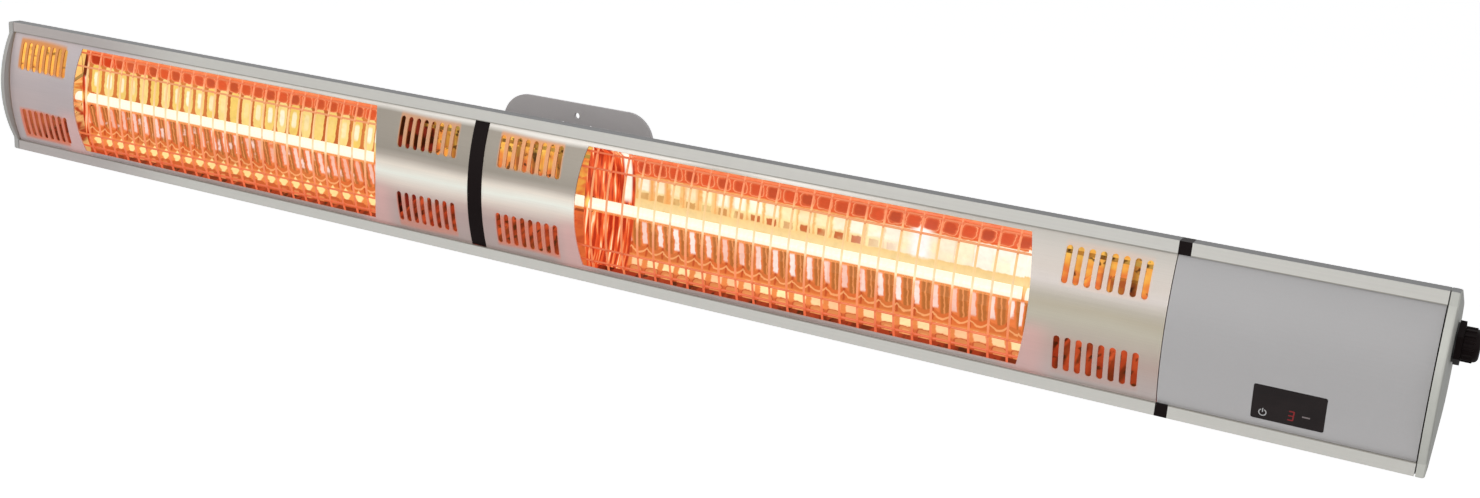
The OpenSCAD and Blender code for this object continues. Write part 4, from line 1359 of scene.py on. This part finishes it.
def dress(names: Iterable[str], material: bpy.types.Material) -> None:
    """Gives CAD nodes a finish.

    Args:
        names: Nodes to dress.
        material: The finish.
    """
    for name in names:
        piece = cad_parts[name]
        if not piece.material_slots:
            piece.data.materials.append(material)
        for slot in piece.material_slots:
            slot.material = material


@dataclass
class Bracket:
    """Wall bracket, and the plated and rubber small parts of the whole heater."""

    paint: PlainFinish = PlainFinish("bracket_paint", (0.52, 0.49, 0.49), 0.42, 0.1,
                                     mottle=0.06)
    zinc: PlainFinish = PlainFinish("zinc", (0.56, 0.56, 0.56), 0.34, 0.85, mottle=0.1)
    rubber: PlainFinish = PlainFinish("rubber", (0.02, 0.02, 0.02), 0.62, mottle=0.2)

    def dress(self) -> None:
        """Dresses the bracket's nodes and the small parts."""
        dress(("wall_plate", "yoke", "saddle"), self.paint.build())
        dress(
            ("yoke_rivets", "tilt_bolts", "tilt_nuts", "saddle_screws",
             "left_cap_screws", "right_cap_screws", "heat_shield", "board_screws"),
            self.zinc.build(),
        )
        dress(
            ("friction_washers", "gland_seal", "gland_washer"),
            self.rubber.build(),
        )


@dataclass
class Body:
    """Housings, caps, covers and the black pieces between them."""

    hot: HousingFinish = HousingFinish("hot_housing")
    cool: HousingFinish = HousingFinish("cool_housing", hot=False)
    cap: CapFinish = CapFinish("cap_paint")
    gasket: PlainFinish = PlainFinish("gasket_grey", (0.38, 0.38, 0.35), 0.6, mottle=0.1)
    cover: CoverFinish = CoverFinish("brushed_cover")
    black: PlainFinish = PlainFinish("black_plastic", (0.010, 0.006, 0.006), 0.45,
                                     mottle=0.3, specular=0.06)

    def dress(self) -> None:
        """Dresses the body's nodes."""
        dress(("housing",), self.hot.build())
        dress(("control_housing",), self.cool.build())
        dress(("left_end_cap", "right_end_cap"), self.cap.build())
        dress(("left_cap_gasket", "right_cap_gasket"), self.gasket.build())
        dress(("left_cover", "right_cover"), self.cover.build())
        dress(
            ("joint_strip", "section_spacer", "gland_body", "gland_nut", "gland_locknut"),
            self.black.build(),
        )


@dataclass
class HotParts:
    """Lamps, reflectors and what carries them."""

    coil: CoilFinish = CoilFinish("coil_glow")
    tube: TubeFinish = TubeFinish("tube_glow")
    guard: GuardFinish = GuardFinish("guard_glow")
    metal: HotFinish = HotFinish("hot_metal", (0.5, 0.45, 0.4))
    ceramic: HotFinish = HotFinish("hot_ceramic", (0.8, 0.75, 0.66), 0.9)
    lead: HotFinish = HotFinish("hot_lead", (0.3, 0.06, 0.04), 0.5)
    looks: tuple[tuple[str, TroughLook], ...] = (
        ("left", TroughLook(lean=0.98, end_zone=12.0, lobes=1.0, spots=1.0, tiles=0.0,
                            white_from=1.2, lower=(0.74, 0.15, 0.06),
                            streak=(0.92, 0.66, 0.58))),
        ("right", TroughLook(lean=0.48, end_zone=44.0, lobes=0.0, spots=0.0, tiles=1.0,
                             white_from=0.62, lower=(0.62, 0.18, 0.045),
                             streak=(0.94, 0.84, 0.78))),
    )

    def dress(self) -> None:
        """Dresses the lamps' nodes and winds the coils."""
        coil_glow, tube_glow = self.coil.build(), self.tube.build()
        guard_glow = self.guard.build()
        hot_metal, hot_ceramic = self.metal.build(), self.ceramic.build()
        for side, look in self.looks:
            low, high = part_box(f"{side}_reflector")
            trough = TroughFinish(
                f"{side}_trough", low[0] / MM, (high[0] - low[0]) / MM, look
            )
            dress((f"{side}_reflector", f"{side}_reflector_ends"), trough.build())
            dress((f"{side}_lamp_tube",), tube_glow)
            dress((f"{side}_guard",), guard_glow)
            dress((f"{side}_lamp_clips", f"{side}_clip_brackets"), hot_metal)
            dress((f"{side}_lamp_caps",), hot_ceramic)
            coil = Lamp(side).build()
            coil.data.materials.append(coil_glow)
            log.info("wound %s with %d faces", coil.name, len(coil.data.polygons))
        dress(("backing_plate", "joint_bridge"), hot_metal)
        dress(("lamp_leads", "thermal_cutout"), self.lead.build())


@dataclass
class ControlBox:
    """Panel, display and the electronics behind them."""

    panel: PlainFinish = PlainFinish("panel_paint", (0.48, 0.468, 0.468), 0.42, 0.1,
                                     grain=0.6, mottle=0.04, darken_up=0.0032)

    def dress(self) -> None:
        """Dresses the control box's nodes."""
        dress(("control_panel",), self.panel.build())
        low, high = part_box("display_window")
        middle = (Vector(low) + Vector(high)) / 2 / MM
        display = DisplayFinish("display", middle.x, middle.z)
        dress(("display_window",), display.build())
        plain = {
            ("display_board", "control_board"): PlainFinish(
                "board_green", (0.02, 0.12, 0.05), 0.4),
            ("led_digit",): PlainFinish("digit_red", (0.5, 0.02, 0.02), 0.3),
            ("infrared_receiver",): PlainFinish("receiver", (0.02, 0.01, 0.02), 0.2),
            ("relays",): PlainFinish("relay_blue", (0.02, 0.05, 0.22), 0.4),
            ("terminal_block",): PlainFinish("terminal_white", (0.7, 0.7, 0.66), 0.5),
            ("board_standoffs", "earth_screw"): PlainFinish(
                "brass", (0.6, 0.42, 0.14), 0.3, 0.9),
        }
        for names, finish in plain.items():
            dress(names, finish.build())


@dataclass(frozen=True)
class SoftLight:
    """Square area light, with its sizes in metres and its power in watts."""

    name: str
    place: Triple
    aim: Triple
    size: float
    power: float

    def build(self) -> None:
        """Adds the light and turns it to its aim."""
        data = bpy.data.lights.new(self.name, "AREA")
        data.shape, data.size, data.energy = "SQUARE", self.size, self.power
        made = bpy.data.objects.new(self.name, data)
        away = Vector(self.place) - Vector(self.aim)
        made.matrix_world = (Matrix.Translation(Vector(self.place))
                             @ away.to_track_quat("Z", "Y").to_matrix().to_4x4())
        bpy.context.scene.collection.objects.link(made)


@dataclass
class Studio:
    """Camera, lights, world and floor, with sizes in metres and angles in degrees."""

    camera_place: Triple = (0.8062, -1.2510, 0.3426)
    camera_turn: Triple = (74.1723, -4.1281, 27.9344)
    lens_mm: float = 40.02
    sensor_mm: float = 36.0
    camera_clip: Span = (0.05, 50.0)
    lights: tuple[SoftLight, ...] = (
        SoftLight("front_light", (-0.5, -3.2, 0.9), (0.1, 0.0, 0.0), 2.6, 40.0),
        SoftLight("side_light", (2.6, -1.6, 1.4), (0.3, 0.0, 0.0), 1.8, 8.0),
    )
    world_colour: Colour = (0.98, 0.99, 1.0)
    world_strength: float = 0.42
    floor_z: float = -0.55
    floor_size: float = 30.0
    floor_colour: Colour = (0.86, 0.86, 0.86)
    floor_glow: float = 0.62

    def build(self) -> None:
        """Sets up the camera, the light and the floor."""
        self.camera()
        self.world()
        for light in self.lights:
            light.build()
        self.floor()
        bpy.context.scene.view_settings.view_transform = "Standard"

    def camera(self) -> None:
        """Adds the camera at the photograph's viewing angle."""
        data = bpy.data.cameras.new("camera")
        data.lens, data.sensor_width = self.lens_mm, self.sensor_mm
        data.sensor_fit = "HORIZONTAL"
        data.clip_start, data.clip_end = self.camera_clip
        made = bpy.data.objects.new("camera", data)
        made.location = self.camera_place
        made.rotation_euler = [math.radians(a) for a in self.camera_turn]
        bpy.context.scene.collection.objects.link(made)
        bpy.context.scene.camera = made

    def world(self) -> None:
        """Pale world that lights evenly and shows white behind the object."""
        world = bpy.data.worlds.new("studio")
        world.use_nodes = True
        bpy.context.scene.world = world
        tree = Tree(world.node_tree)
        light = tree.nodes.nodes["Background"]
        tree.feed(light.inputs["Color"], self.world_colour)
        tree.feed(light.inputs["Strength"], self.world_strength)
        white = tree.node("ShaderNodeBackground", {}, {"Color": WHITE, "Strength": 1.0})
        seen = tree.light_path("Is Camera Ray", "Is Glossy Ray", "Is Transmission Ray")
        mix = tree.node(
            "ShaderNodeMixShader", {}, {0: seen, 1: light.outputs[0], 2: white.outputs[0]}
        )
        tree.feed(tree.nodes.nodes["World Output"].inputs["Surface"], mix.outputs[0])

    def floor(self) -> None:
        """Wide pale floor under the object, which keeps its soft shadow."""
        bpy.ops.object.select_all(action="DESELECT")
        bpy.ops.mesh.primitive_plane_add(
            size=self.floor_size, location=(0, 0, self.floor_z)
        )
        floor = bpy.context.object
        floor.name = "floor"
        shader = Shader("floor_paper")
        grain = shader.noise(BROAD)
        shader.set(
            base_color=shader.times(self.floor_colour, grain.about(1.0, 0.02)),
            roughness=0.9,
            specular_ior_level=0.1,
        )
        seen = shader.light_path("Is Camera Ray")
        shader.shine(shader.times(WHITE, seen), self.floor_glow)
        floor.data.materials.append(shader.material)


def main() -> None:
    """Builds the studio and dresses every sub-assembly."""
    logging.basicConfig(level=logging.INFO, format="%(message)s")
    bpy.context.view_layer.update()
    Studio().build()
    for assembly in (Bracket(), Body(), HotParts(), ControlBox()):
        assembly.dress()
        log.info("dressed %s", type(assembly).__name__)


if __name__ == "__main__":
    main()
